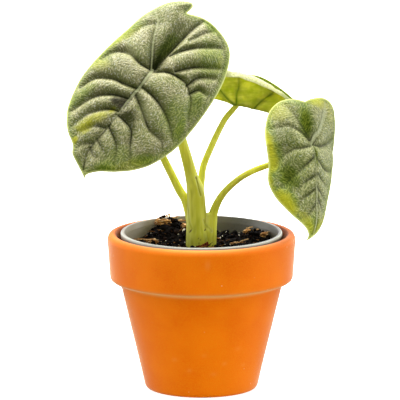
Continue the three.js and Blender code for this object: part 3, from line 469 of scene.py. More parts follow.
# Slivers that show: x, y, height above the mix, length, width, turn, tilt and tone
SHOWN_SLIVERS = [
    (4.6, -11.9, 2.2, 9, 1.7, 0, 42, 0.06),
    (0.5, -11.4, 1.6, 6, 1.2, 15, 12, 0.45),
    (31, 10, 1.8, 11, 1.5, 18, 14, 0.8),
    (-28, 48, 4.5, 9, 1.8, 10, 10, 0.8),
    (-22, 49, 4, 9, 1.6, -25, 8, 0.85),
    (-17, 47, 3.5, 7, 1.5, 25, 15, 0.75),
    (-33, 46, 4.5, 8, 1.4, 50, 25, 0.6),
    (-36, 45, 2.5, 7, 2, 20, 10, 0.5),
    (-30, 50, 5, 6, 1.4, 70, 30, 0.15),
    (-25, 50, 6.5, 7, 1.6, -40, 25, 0.7),
    (-20, 50, 5.5, 7, 1.8, 15, 12, 0.5),
    (-14, 50, 5, 6, 1.6, -15, 10, 0.6),
    (-24, 44, 5, 5, 1.5, 80, 12, 0.9),
    (-12, 46, 2.4, 7, 1.6, -20, 12, 0.45),
    (42, 36, 1.8, 6, 1.6, 30, 10, 0.7),
    (36, 38, 4.5, 6, 1.8, -10, 14, 0.75),
    (33, 39, 2.5, 4, 1.5, 60, 20, 0.1),
    (50, 24, 1.6, 5, 1.2, -20, 10, 0.75),
]


# Materials


def linear(code):
    """An sRGB hex colour as linear red, green, blue and alpha."""
    parts = [int(code[i : i + 2], 16) / 255 for i in (1, 3, 5)]
    return [c / 12.92 if c <= 0.04045 else ((c + 0.055) / 1.055) ** 2.4 for c in parts] + [1]


def add_node(tree, kind, inputs, **settings):
    """Adds a node with its settings, and sets or links its inputs. Returns its outputs."""
    node = tree.nodes.new("ShaderNode" + kind)
    for name, value in settings.items():
        setattr(node, name, value)
    for name, value in inputs.items():
        if isinstance(value, bpy.types.NodeSocket):
            tree.links.new(value, node.inputs[name])
        else:
            node.inputs[name].default_value = value
    return node.outputs


# Places of a colour mix's sockets
FACTOR, FIRST, SECOND, MIXED = 0, 6, 7, 2


class Paint:
    """The nodes of one material. A colour is an sRGB hex code or another node's output."""

    def __init__(self, name):
        self.material = bpy.data.materials.new(name)
        self.material.use_nodes = True
        self.tree = self.material.node_tree
        self.tree.nodes.clear()

    def read(self, name):
        """A value that the corners of the mesh carry."""
        return add_node(self.tree, "Attribute", {}, attribute_name=name)["Fac"]

    def texture(self, kind, size, stretch=None, **inputs):
        """A texture's first output. Size is in metres, and cells of noise are about half as wide."""
        place = add_node(self.tree, "TexCoord", {})["Object"]
        if stretch:
            place = add_node(self.tree, "Mapping", {"Vector": place, "Scale": stretch})["Vector"]
        return add_node(self.tree, "Tex" + kind, {"Vector": place, "Scale": 1 / size, **inputs})[0]

    def ramp(self, value, low, high, start=0, end=1):
        """Goes from start to end as the value goes from low to high, and stays there."""
        inputs = {"Value": value, "From Min": low, "From Max": high, "To Min": start, "To Max": end}
        return add_node(self.tree, "MapRange", inputs)["Result"]

    def blend(self, share, first, second):
        """A share of the second colour over the first."""
        first, second = (linear(c) if isinstance(c, str) else c for c in (first, second))
        inputs = {FACTOR: share, FIRST: first, SECOND: second}
        return add_node(self.tree, "Mix", inputs, data_type="RGBA")[MIXED]

    def bump(self, height, strength, depth):
        """The direction that a face seems to look in, with a relief too fine for the mesh."""
        inputs = {"Height": height, "Strength": strength, "Distance": depth}
        return add_node(self.tree, "Bump", inputs)["Normal"]

    def reckon(self, operation, first, second):
        """Two values put together by one operation."""
        return add_node(self.tree, "Math", {0: first, 1: second}, operation=operation)["Value"]

    def finish(self, inputs):
        """Closes the material with its shader, and returns it."""
        shader = add_node(self.tree, "BsdfPrincipled", inputs)
        add_node(self.tree, "OutputMaterial", {"Surface": shader["BSDF"]})
        return self.material


def leaf_upper_material():
    """Upper face of a quilted leaf: pale wrinkles over dark green, with painted shade in its grooves,
    hollows and down-turned faces, and painted highlight in glints, pale patches and a glow along its rim.
    """
    paint = Paint("alocasia_leaf_quilted_upper")
    ridge = paint.ramp(paint.read("crest"), -0.9, 0.6)
    # patches of about 12 mm that are greener or greyer, as in leaf tissue of different age
    cloud = paint.ramp(paint.texture("Noise", 0.012, Detail=3), 0.35, 0.65)
    # cells of 0.6 mm that fleck the skin
    fleck = paint.ramp(paint.texture("Noise", 0.0012, Detail=2), 0.3, 0.7)
    crest = paint.blend(cloud, paint.blend(fleck, "#b2ac76", "#e2dcb3"), "#b4b07a")
    groove = paint.blend(cloud, "#807f52", "#6f783c")
    upper = paint.blend(ridge, groove, crest)
    # painted highlight: bright cells 0.5 mm across, a few to each wrinkle, as glints of light
    painted_glint = paint.ramp(paint.texture("Noise", 0.0011, Detail=1), 0.6, 0.7, end=0.5)
    upper = paint.blend(painted_glint, upper, "#eceddc")
    for key, colour in (
        ("fresh", paint.blend(ridge, "#5e7416", "#a0ae44")),
        ("yellowing", paint.blend(ridge, "#94980a", "#cdc934")),
        ("bruise", "#3a2f28"),
        # painted shade that keeps a deep green, in the valleys and over the middle leaf's far half
        ("green_shade", paint.blend(ridge, "#435404", "#7d8a24")),
        # painted shade in the grooves, hollows and valley, in the shadowed patches and on faces that look
        # down
        ("hollow_shade", "#1d2507"),
        # the veins' own darker green, deepened by painted shade in their grooves and beside the pale ribs
        ("vein", "#101804"),
        ("pale_rib", paint.blend(fleck, "#8b9462", "#b4b78c")),
        # painted glow of light through the thin margin
        ("rim", "#dde48c"),
        # painted highlight: pale patches where the light falls strongest, above all on the middle leaf's
        # rolled band
        ("pale_highlight", paint.blend(fleck, "#c4c67c", "#e4e6b0")),
    ):
        upper = paint.blend(paint.read(key), upper, colour)
    # little light reaches the grooves and hollows, so they hardly shine
    sunk = paint.reckon("MAXIMUM", paint.read("hollow_shade"), paint.read("vein"))
    smooth = paint.reckon("MULTIPLY", paint.read("yellowing"), 0.4)
    sunk = paint.reckon("MAXIMUM", paint.reckon("MAXIMUM", sunk, smooth), paint.read("green_shade"))
    # cells of 0.35 mm that break the shine into fine grains
    cells = paint.texture("Noise", 0.0007, Detail=2)
    return paint.finish(
        {
            "Base Color": upper,
            "Normal": paint.bump(cells, 0.5, 0.0003),
            "Roughness": 0.48,
            "IOR": 1.45,
            "Specular IOR Level": paint.ramp(sunk, 0, 0.7, 0.42, 0.04),
        }
    )


def leaf_underside_material():
    """Underside of a leaf: smooth yellow-green that the light shines through, with dark green veins."""
    paint = Paint("alocasia_leaf_underside")
    # mottling of 3 to 6 mm, from tissue that is thicker in places
    cloud = paint.ramp(paint.texture("Noise", 0.006, Detail=4), 0.35, 0.65)
    # partly painted light: the tissue's own yellow-green, painted brighter for the light that shines through
    # it
    under = paint.blend(cloud, "#dcdc62", "#b4be3c")
    # fibres 1 mm wide that run between the veins
    fibre = paint.texture("Noise", 0.002, stretch=(0.25, 1, 1), Detail=3)
    under = paint.blend(paint.ramp(fibre, 0.45, 0.7, end=0.5), under, "#a6ab3a")
    under = paint.blend(paint.read("vein"), under, "#577c02")
    # painted glow of light through the thin margin
    under = paint.blend(paint.read("rim"), under, "#eef0c0")
    return paint.finish(
        {
            "Base Color": under,
            "Roughness": 0.45,
            "IOR": 1.45,
            "Subsurface Weight": 1,
            "Subsurface Radius": (1.0, 1.0, 0.3),
            "Subsurface Scale": 0.0015,
        }
    )


def stalk_material():
    """Living leaf stalk: watery, smooth skin, light green with paler and darker streaks along it."""
    paint = Paint("alocasia_stalk_living")
    # streaks 1.2 mm wide that run along the stalk
    streak = paint.texture("Noise", 0.0024, stretch=(1, 1, 0.08), Detail=3)
    streak = paint.ramp(streak, 0.3, 0.7)
    colour = paint.blend(streak, "#cdcd36", "#dcdb58")
    for key, code in (("pale_tint", "#cfd19a"), ("shade", "#8a8c10"), ("scar", "#3a2a12")):
        colour = paint.blend(paint.read(key), colour, code)
    return paint.finish(
        {
            "Base Color": colour,
            "Normal": paint.bump(streak, 0.25, 0.0002),
            "Roughness": 0.5,
            "IOR": 1.42,
            "Specular IOR Level": 0.3,
            "Subsurface Weight": 0.3,
            "Subsurface Radius": (1.0, 1.2, 0.3),
            "Subsurface Scale": 0.0015,
        }
    )


def terracotta_material():
    """Unglazed terracotta, turned and fired: matte orange clay with fine grit and a few pale scuffs."""
    paint = Paint("terracotta_unglazed_fired")
    # clouds of 15 to 30 mm, from heat that reached the clay unevenly
    cloud = paint.ramp(paint.texture("Noise", 0.03, Detail=4), 0.35, 0.65)
    colour = paint.blend(cloud, "#e96a00", "#f27804")
    # sand grains in the clay are 0.3 mm across, drawn at 0.4 to 0.8 mm so that they show
    grit = paint.texture("Noise", 0.0008, Detail=2)
    colour = paint.blend(paint.ramp(grit, 0.35, 0.75, end=0.5), colour, "#ee8812")
    # lime specks 1 mm across, one to each 12 mm or so
    specks = paint.ramp(paint.texture("Voronoi", 0.012), 0.03, 0.06, 0.6, 0)
    colour = paint.blend(specks, colour, "#f6c08e")
    # scuffs have rubbed paler in handling; a pale line along the band's lower edge and on the front of the
    # mouth is painted highlight, and the darker inside and right of the mouth is painted shade
    colour = paint.blend(paint.read("wear_and_highlight"), colour, "#ffc474")
    colour = paint.blend(paint.read("pot_shade"), colour, "#7e360c")
    # a clean outer face has a soft dusty sheen, and the handled mouth has little
    return paint.finish(
        {
            "Base Color": colour,
            "Normal": paint.bump(grit, 0.6, 0.0003),
            "Roughness": 0.7,
            "IOR": 1.5,
            "Specular IOR Level": 0.12,
            "Sheen Weight": paint.read("sheen"),
            "Sheen Roughness": 0.3,
            "Sheen Tint": linear("#ffe6cc"),
        }
    )


def grower_pot_material():
    """Recycled polypropylene, injection moulded: satin grey with a faint mottle and soil dust inside, with
    painted light on its left, painted shade on its right and a painted highlight along the top of its lip.
    """
    paint = Paint("polypropylene_grey_moulded")
    # mottle of 3 to 6 mm, from regrind of other colours
    colour = paint.blend(paint.texture("Noise", 0.006, Detail=4), "#56544a", "#6a675a")
    # crumbs of dust 0.8 mm across
    dust = paint.ramp(paint.texture("Noise", 0.0016, Detail=3), 0.58, 0.7, end=0.55)
    colour = paint.blend(dust, colour, "#4b4a40")
    # painted light and shade: the wall is paler on the left and darker on the right
    side_light_and_shade = paint.blend(paint.read("side_shade"), "#a89c84", "#2a261a")
    colour = paint.blend(0.55, colour, side_light_and_shade)
    # painted highlight along the top of the lip
    colour = paint.blend(paint.read("lip_highlight"), colour, "#a5a89c")
    return paint.finish({"Base Color": colour, "Roughness": 0.42, "IOR": 1.49})


def crumb_material(name, dark, light, pale):
    """Plant matter in lumps: each lump has its own tone, and a rough, dry surface."""
    paint = Paint(name)
    tone = paint.read("tone")
    colour = paint.blend(paint.ramp(tone, 0, 0.6), dark, light)
    colour = paint.blend(paint.ramp(tone, 0.6, 1), colour, pale)
    # grain of 0.7 mm that roughens each lump
    grain = paint.texture("Noise", 0.0014, Detail=4)
    colour = paint.blend(paint.ramp(grain, 0.35, 0.6, 0.6, 0), colour, dark)
    return paint.finish(
        {
            "Base Color": colour,
            "Normal": paint.bump(grain, 0.6, 0.0005),
            "Roughness": 0.8,
            "IOR": 1.4,
            "Specular IOR Level": 0.08,
        }
    )


def floor_material():
    """Matte white studio paper."""
    white = {"Base Color": linear("#f4f4f4"), "Roughness": 0.9}
    glow = {"Emission Color": linear("#ffffff"), "Emission Strength": 0.6}
    return Paint("studio_paper_white").finish({**white, **glow})


# Meshes


def add_object(name, data):
    """Puts a mesh, a lamp or a camera in the scene."""
    thing = bpy.data.objects.new(name, data)
    bpy.context.scene.collection.objects.link(thing)
    return thing


def make_piece(name, points, faces, material, replaced, attributes, second=None, smooth=True):
    """A named mesh that rides on the part. Points are in millimetres, and faces are tables whose rows
    are corners. second is a second material, and the number of the face where it starts."""
    mesh = bpy.data.meshes.new(name)
    corners = np.concatenate([np.asarray(f, np.int32).ravel() for f in faces])
    sizes = np.concatenate([np.full(len(f), np.asarray(f).shape[1], np.int32) for f in faces])
    mesh.vertices.add(len(points))
    mesh.vertices.foreach_set("co", (np.asarray(points, np.float32) * MM).ravel())
    mesh.loops.add(len(corners))
    mesh.loops.foreach_set("vertex_index", corners)
    mesh.polygons.add(len(sizes))
    mesh.polygons.foreach_set("loop_start", np.concatenate([[0], np.cumsum(sizes)[:-1]]).astype(np.int32))
    mesh.polygons.foreach_set("use_smooth", np.full(len(sizes), smooth))
    mesh.update(calc_edges=True)
    for key, values in attributes.items():
        layer = mesh.attributes.new(key, "FLOAT", "POINT")
        layer.data.foreach_set("value", np.asarray(values, np.float32))
    mesh.materials.append(material)
    if second:
        mesh.materials.append(second[0])
        mesh.polygons.foreach_set("material_index", (np.arange(len(sizes)) >= second[1]).astype(np.int32))
    piece = add_object(name, mesh)
    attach(piece, "root")
    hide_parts(*replaced)


def noise_at(places, seed=0):
    """Smooth noise from -1 to 1 at each place."""
    return np.array([noise.noise(Vector(p) + Vector((seed * 17.3, 0, 0))) for p in places])


def noise_on(flat, size, seed):
    """Smooth noise from -1 to 1 over a plane, in lumps of about this size."""
    return noise_at(np.column_stack([flat / size, np.zeros(len(flat))]), seed)


def bell(away, width, power=2):
    """A soft hump: one in the middle, and fading out past this width."""
    return np.exp(-((away / width) ** power))


def rise(value, start, length):
    """Goes from zero at the start to one a length further on, or further back if it is negative."""
    return np.clip((value - start) / length, 0, 1)


def band_faces(sides, shift):
    """Quads between a loop of the first corners and a like loop that starts at shift."""
    ring = np.arange(sides)
    following = (ring + 1) % sides
    return np.stack([ring, ring + shift, following + shift, following], 1)


def spline(points, per_span):
    """A smooth line through the points, with the same number of steps between each two."""
    p = np.asarray(points, float)
    ends = np.concatenate([p[:1], p, p[-1:]])
    t = np.linspace(0, 1, per_span, endpoint=False)[:, None]
    parts = []
    for i in range(len(p) - 1):
        a, b, c, d = ends[i : i + 4]
        v, w = (c - a) / 2, (d - b) / 2
        parts.append((2 * b - 2 * c + v + w) * t**3 + (3 * c - 3 * b - 2 * v - w) * t**2 + v * t + b)
    return np.concatenate(parts + [p[-1:]])


def evenly(line, pitch):
    """The line with its points about one pitch apart."""
    arc = np.concatenate([[0], np.cumsum(np.linalg.norm(np.diff(line, axis=0), axis=1))])
    places = np.linspace(0, arc[-1], max(int(round(arc[-1] / pitch)), 2) + 1)
    return np.stack([np.interp(places, arc, line[:, axis]) for axis in range(line.shape[1])], 1)


def nearest(line, points):
    """For each point its distance to a line, and the share and the length of the line up to there."""
    distance = np.full(len(points), np.inf)
    share = np.zeros(len(points))
    length = np.zeros(len(points))
    travelled = 0
    for i in range(len(line) - 1):
        step = line[i + 1] - line[i]
        size = np.hypot(*step)
        away = points - line[i]
        t = np.clip(away @ step / size**2, 0, 1)
        d = np.hypot(away[:, 0] - t * step[0], away[:, 1] - t * step[1])
        closer = d < distance
        distance = np.where(closer, d, distance)
        share = np.where(closer, (i + t) / (len(line) - 1), share)
        length = np.where(closer, travelled + t * size, length)
        travelled += size
    return distance, share, length


def inside(starts, ends, points):
    """Whether each point lies inside the closed loops made of these edges."""
    result = np.zeros(len(points), bool)
    for (ax, ay), (bx, by) in zip(starts, ends):
        if ay == by:
            continue
        crosses = (ay > points[:, 1]) != (by > points[:, 1])
        result ^= crosses & (points[:, 0] < (bx - ax) * (points[:, 1] - ay) / (by - ay) + ax)
    return result


def free_edges(triangles, count):
    """Edges that only one triangle has."""
    edges = np.concatenate([triangles[:, [0, 1]], triangles[:, [1, 2]], triangles[:, [2, 0]]])
    codes = edges[:, 0].astype(np.int64) * count + edges[:, 1]
    reverse = edges[:, 1].astype(np.int64) * count + edges[:, 0]
    return edges[~np.isin(codes, reverse)]


def flat_mesh(outline, pitch):
    """Triangles that fill an outline: an even net inside, and a strip that joins it to the outline.
    The outline's points come first."""
    row_pitch = pitch * math.sqrt(3) / 2
    low, high = outline.min(0), outline.max(0)
    rows = int((high[0] - low[0]) / row_pitch) + 2
    columns = int((high[1] - low[1]) / pitch) + 3
    i, j = np.meshgrid(np.arange(rows), np.arange(columns), indexing="ij")
    along, across = low[0] + i * row_pitch, low[1] + (j - 1 + 0.5 * (i % 2)) * pitch
    net = np.stack([along, across], -1).reshape(-1, 2)
    loop = np.roll(outline, -1, 0)
    good = inside(outline, loop, net)
    gap = np.full(len(net), np.inf)
    closed = np.concatenate([outline, outline[:1]])
    gap[good] = nearest(closed, net[good])[0]
    good &= gap > 0.6 * pitch
    at = (i * columns + j)[:-1, :-1]
    right, up, both = at + 1, at + columns, at + columns + 1
    even = (i[:-1, :-1] % 2) == 0
    first = np.where(even[..., None], np.stack([at, up, right], -1), np.stack([at, up, both], -1))
    second = np.where(even[..., None], np.stack([right, up, both], -1), np.stack([at, both, right], -1))
    triangles = np.concatenate([first.reshape(-1, 3), second.reshape(-1, 3)])
    triangles = triangles[good[triangles].all(1)]
    used = np.unique(triangles)
    place = np.full(len(net), -1)
    place[used] = np.arange(len(used)) + len(outline)
    points = np.concatenate([outline, net[used]])
    triangles = place[triangles]
    border = free_edges(triangles, len(points))
    rim = np.unique(border)
    slot_of = np.full(len(points), -1)
    slot_of[: len(outline)] = np.arange(len(outline))
    slot_of[rim] = np.arange(len(rim)) + len(outline)
    chosen = np.concatenate([np.arange(len(outline)), rim])
    ring = [(k, (k + 1) % len(outline)) for k in range(len(outline))]
    strip = delaunay_2d_cdt(
        [Vector(p) for p in points[chosen]],
        ring + [tuple(int(x) for x in e) for e in slot_of[border]],
        [],
        0,
        1e-7,
    )
    back = np.array([sources[0] for sources in strip[3]])
    joined = chosen[back[np.array(strip[2])]]
    centres = points[joined].mean(1)
    keep = inside(outline, loop, centres) & ~inside(points[border[:, 0]], points[border[:, 1]], centres)
    joined = joined[keep]
    (ax, ay), (bx, by), (cx, cy) = (points[joined[:, k]].T for k in range(3))
    clockwise = (bx - ax) * (cy - ay) - (by - ay) * (cx - ax) < 0
    joined[clockwise] = joined[clockwise][:, ::-1]
    return points, np.concatenate([triangles, joined])


# Leaves


def prepared_leaf(leaf):
    """A leaf with its lines sampled and its own axes worked out."""
    heading, pitch, roll = (math.radians(leaf[key]) for key in ("heading", "pitch", "roll"))
    tangent = np.array(
        [math.cos(pitch) * math.cos(heading), math.cos(pitch) * math.sin(heading), -math.sin(pitch)]
    )
    level = np.array(
        [math.sin(pitch) * math.cos(heading), math.sin(pitch) * math.sin(heading), math.cos(pitch)]
    )
    normal = level * math.cos(roll) + np.cross(tangent, level) * math.sin(roll)
    right_margin = spline(leaf["right_margin"], 6)
    left_margin = spline(leaf["left_margin"], 6)
    return dict(
        leaf,
        tangent=tangent,
        normal=normal,
        across=np.cross(normal, tangent),
        sides=(right_margin, left_margin[::-1]),
        margin=np.concatenate([right_margin, left_margin[::-1][1:]]),
        midrib_line=spline(leaf["midrib"], 6),
        valley_line=spline(leaf["valley"]["line"], 4),
        vein_lines=[(spline(line, 5), blur) for line, blur in leaf["veins"]],
    )


def sheet_at(leaf, a, b):
    """Places on the bent sheet under the quilting, and which way its upper face looks there."""
    bend = np.radians(np.where(a > 0, leaf["bend"]["tip"], leaf["bend"]["base"]))
    turn = np.abs(a) * bend
    sign = np.sign(a)
    tangent, normal = leaf["tangent"], leaf["normal"]
    point = np.array(leaf["attach"]) + np.outer(sign * np.sin(turn) / bend, tangent)
    point -= np.outer((1 - np.cos(turn)) / bend, normal)
    up = np.outer(np.cos(turn), normal) + np.outer(sign * np.sin(turn), tangent)
    middle = leaf["midrib_line"]
    crease = np.interp(a, middle[:, 0], middle[:, 1], left=0) if leaf["creased"] else np.zeros(len(a))
    side = np.where(b < crease, -1, 1)
    point += np.outer(crease, leaf["across"])
    twist = np.radians(leaf["lobe_twist"]) * np.minimum(a, 0)
    out = np.outer(np.cos(twist), leaf["across"]) + up * np.sin(twist)[:, None]
    up = up * np.cos(twist)[:, None] - np.outer(np.sin(twist), leaf["across"])
    left, right = leaf["left"], leaf["right"]
    fold, curl, edge = (np.where(side < 0, left[key], right[key]) for key in ("fold", "curl", "edge"))
    reaches = [np.interp(a, *np.transpose(half["reach"])) for half in (left, right)]
    reach = np.where(side < 0, *reaches)

    def angle_at(w):
        """How steeply the blade stands at a distance from its crease."""
        folded = fold * (1 - bell(w, KEEL_ROUNDING))
        return np.radians(folded + curl * w + edge * np.minimum(w / reach, MARGIN_ROLL) ** 4)

    width = np.abs(b - crease)
    sideways = np.zeros(len(a))
    upwards = np.zeros(len(a))
    for k in range(FOLD_STEPS):
        angle = angle_at(width * (k + 0.5) / FOLD_STEPS)
        sideways += np.cos(angle) * width / FOLD_STEPS
        upwards += np.sin(angle) * width / FOLD_STEPS
    point += out * (side * sideways)[:, None] + up * upwards[:, None]
    face = angle_at(width)[:, None]
    return point, up * np.cos(face) - out * (side[:, None] * np.sin(face))


def quilting(leaf, flat):
    """Heights of the quilting and of the ribs below it, and where the veins, the painted shade of the
    grooves and hollows, the wrinkles and the rim lie.
    """
    midrib = nearest(leaf["midrib_line"], flat)[0]
    edge = nearest(leaf["margin"], flat)[0]
    tightness = 1 / (np.maximum(midrib - MIDRIB_FLOOR, 0) ** 2 + 0.3) + 1 / (edge**2 + 3)
    rib = MIDRIB_RIB * bell(midrib, RIB_WIDTH)
    knots = np.array(leaf["pale_midrib"], float).T
    pale_width, paleness = (np.interp(flat[:, 0], knots[0], knots[row]) for row in (1, 2))
    # painted shade: a dark line beside the pale midrib
    beside = 0.6 * paleness * bell(midrib - pale_width - 0.5, SHADE_WIDTH)
    vein = np.maximum(beside, 0.9 * (1 - paleness) * bell(midrib, 0.75))
    pale = paleness * bell(midrib, pale_width, 4)
    hollow_shade, crease, arc, crowd = np.zeros((4, len(flat)))
    weights = np.full(len(flat), 1e-9)
    for k, (line, blur) in enumerate(leaf["vein_lines"]):
        distance, share, length = nearest(line, flat)
        soft = blur[0] + (blur[1] - blur[0]) * share
        tightness += 1 / (distance**2 + soft**2)
        rib = np.maximum(rib, VEIN_RIB * (1 - 0.7 * share) * bell(distance, RIB_WIDTH))
        depth = np.clip(1.3 - 0.9 * share, 0, 1) * np.clip(1.6 - 0.4 * soft, 0.2, 1)
        if k in leaf["pale_veins"]:
            half = leaf["pale_veins"][k]
            pale = np.maximum(pale, (1 - 0.6 * share) * bell(distance, half, 4))
            # painted shade: a dark line beside a pale vein
            vein = np.maximum(vein, 0.8 * (bell(distance - half - 0.9, SHADE_WIDTH) * (1 - share)))
        else:
            # the vein's own darker green deepened by painted shade in its groove, and painted shade in the
            # hollow round it
            vein = np.maximum(vein, leaf["ink"] * depth * bell(distance, INK_WIDTH))
            hollow_shade = np.maximum(hollow_shade, depth * bell(distance, HOLLOW_WIDTH))
            crease = np.maximum(crease, depth * bell(distance, CREASE_WIDTH))
        weight = 1 / (distance**2 + 1) ** 2
        weights += weight
        arc += weight * length
        crowd += 1 / (distance**2 + 0.5)
    valley, share, _ = nearest(leaf["valley_line"], flat)
    deep, shallow = leaf["valley"]["depth"]
    height = leaf["puff"] / np.sqrt(tightness) - leaf["crease"] * crease
    height -= (deep + (shallow - deep) * share) * bell(valley, leaf["valley"]["width"])
    # painted shade in the valley by the notch
    hollow_shade = np.maximum(hollow_shade, leaf["valley"]["dark"] * (1 - 0.8 * share) * bell(valley, 5))
    for dimple in leaf["dimples"]:
        away = np.hypot(*(flat - dimple["at"]).T)
        height -= dimple["depth"] * bell(away, dimple["radius"])
    # the grooves are darker in some places than in others
    vein *= 0.8 + 0.4 * noise_on(flat, 7, 9)
    return dict(
        height=height,
        rib=np.where(edge < 1, 0, rib),
        vein=np.clip(vein, 0, 1) * (1 - pale),
        hollow_shade=0.55 * np.clip(hollow_shade, 0, 1.7) * (1 - pale),
        pale_rib=pale * rise(edge, 1, 3),
        edge=edge,
        arc=arc / weights,
        apart=1 / np.sqrt(crowd),
    )


def gathered(parts, faces, count):
    """Adds up at each corner what the triangles round it have, and gives each sum a length of one."""
    total = np.stack([np.bincount(faces.ravel(), np.repeat(part, 3), count) for part in parts], 1)
    return total / (np.linalg.norm(total, axis=1)[:, None] + 1e-9)


def slope(values, flat, faces):
    """Which way a value rises over the leaf's own plane, at each corner."""
    (ax, ay), (bx, by), (cx, cy) = (flat[faces[:, k]].T for k in range(3))
    first, second, third = (values[faces[:, k]] for k in range(3))
    along = (second - first) * (cy - ay) - (third - first) * (by - ay)
    across = (third - first) * (bx - ax) - (second - first) * (cx - ax)
    return gathered((along, across), faces, len(flat))


def wrinkle_places(flat, way, seed):
    """Centres of the wrinkles, as rows of corners: no two of them closer than a wrinkle needs."""
    random = np.random.default_rng(seed)
    cells = {}
    chosen = []
    for k in random.permutation(len(flat))[::2]:
        a, b = flat[k]
        i, j = int(a // WRINKLE_LENGTH), int(b // WRINKLE_LENGTH)
        wa, wb = way[k]
        around = [(i + di, j + dj) for di in (-1, 0, 1) for dj in (-1, 0, 1)]
        for oa, ob in (other for cell in around for other in cells.get(cell, ())):
            across = (a - oa) * wa + (b - ob) * wb
            along = (b - ob) * wa - (a - oa) * wb
            if (across / WRINKLE_PITCH) ** 2 + (along / WRINKLE_LENGTH) ** 2 < 1:
                break
        else:
            cells.setdefault((i, j), []).append((a, b))
            chosen.append(k)
    return chosen


def wrinkles(flat, faces, quilt, seed):
    """Short fine ridges that leave each vein forwards and meet halfway to the next, from -1 to 1."""
    way = slope(quilt["arc"] - WRINKLE_TURN * quilt["apart"], flat, faces)
    sway = WRINKLE_SWAY * noise_on(flat, 5, seed)
    way = np.stack([way[:, 0] - sway * way[:, 1], way[:, 1] + sway * way[:, 0]], 1)
    way /= np.linalg.norm(way, axis=1)[:, None] + 1e-9
    tree = kdtree.KDTree(len(flat))
    for k, (a, b) in enumerate(flat):
        tree.insert((a, b, 0), k)
    tree.balance()
    random = np.random.default_rng(seed + 1)
    crest = np.zeros(len(flat))
    for k in wrinkle_places(flat, way, seed):
        half = WRINKLE_LENGTH * random.uniform(0.4, 0.9)
        wa, wb = way[k]
        found = tree.find_range((*flat[k], 0), half * 1.2)
        near = np.array([index for _, index, _ in found])
        away = flat[near] - flat[k]
        across = (away[:, 0] * wa + away[:, 1] * wb) / (WRINKLE_PITCH * WRINKLE_SHARE)
        along = (away[:, 1] * wa - away[:, 0] * wb) / half
        ridge = random.uniform(0.45, 1) * np.exp(-(across**2) - along**4)
        crest[near] = np.maximum(crest[near], ridge)
    crest = 2.2 * crest - 1.1 + 0.7 * noise_on(flat, SKIN_GRAIN, seed + 2)
    calm = rise(quilt["edge"], 0, 2) * (1 - quilt["pale_rib"]) * (1 - 0.8 * quilt["vein"])
    return np.clip(crest, -1, 1) * calm


def turned_away(points, normal, faces):
    """How much further each place looks down than the sheet under the quilting, from -0.6 to 0.6.
    The leaf is painted darker where it looks down and paler where it looks up, as painted shade and light."""
    a, b, c = (points[faces[:, k]] for k in range(3))
    facing = gathered(np.cross(b - a, c - a).T, faces, len(points))
    return np.clip(normal[:, 2] - facing[:, 2], -0.6, 0.6)


def spread(flat, spots, seed):
    """How strongly soft-edged spots cover each place: the strongest of them counts."""
    cover = np.zeros(len(flat))
    ragged = 1 + 0.55 * noise_on(flat, 3.5, seed + 5)
    for centre, radii, turn, strength in spots:
        u, v = in_spot(*flat.T, centre, radii, turn)
        cover = np.maximum(cover, strength * np.clip(1.15 * (1 - (u**2 + v**2) * ragged), 0, 1))
    return cover


def in_spot(x, y, centre, radii, turn):
    """Places in a turned oval spot's own two directions, with its edge at one."""
    angle = math.radians(turn)
    x, y = x - centre[0], y - centre[1]
    along = x * math.cos(angle) + y * math.sin(angle)
    across = y * math.cos(angle) - x * math.sin(angle)
    return along / radii[0], across / radii[1]


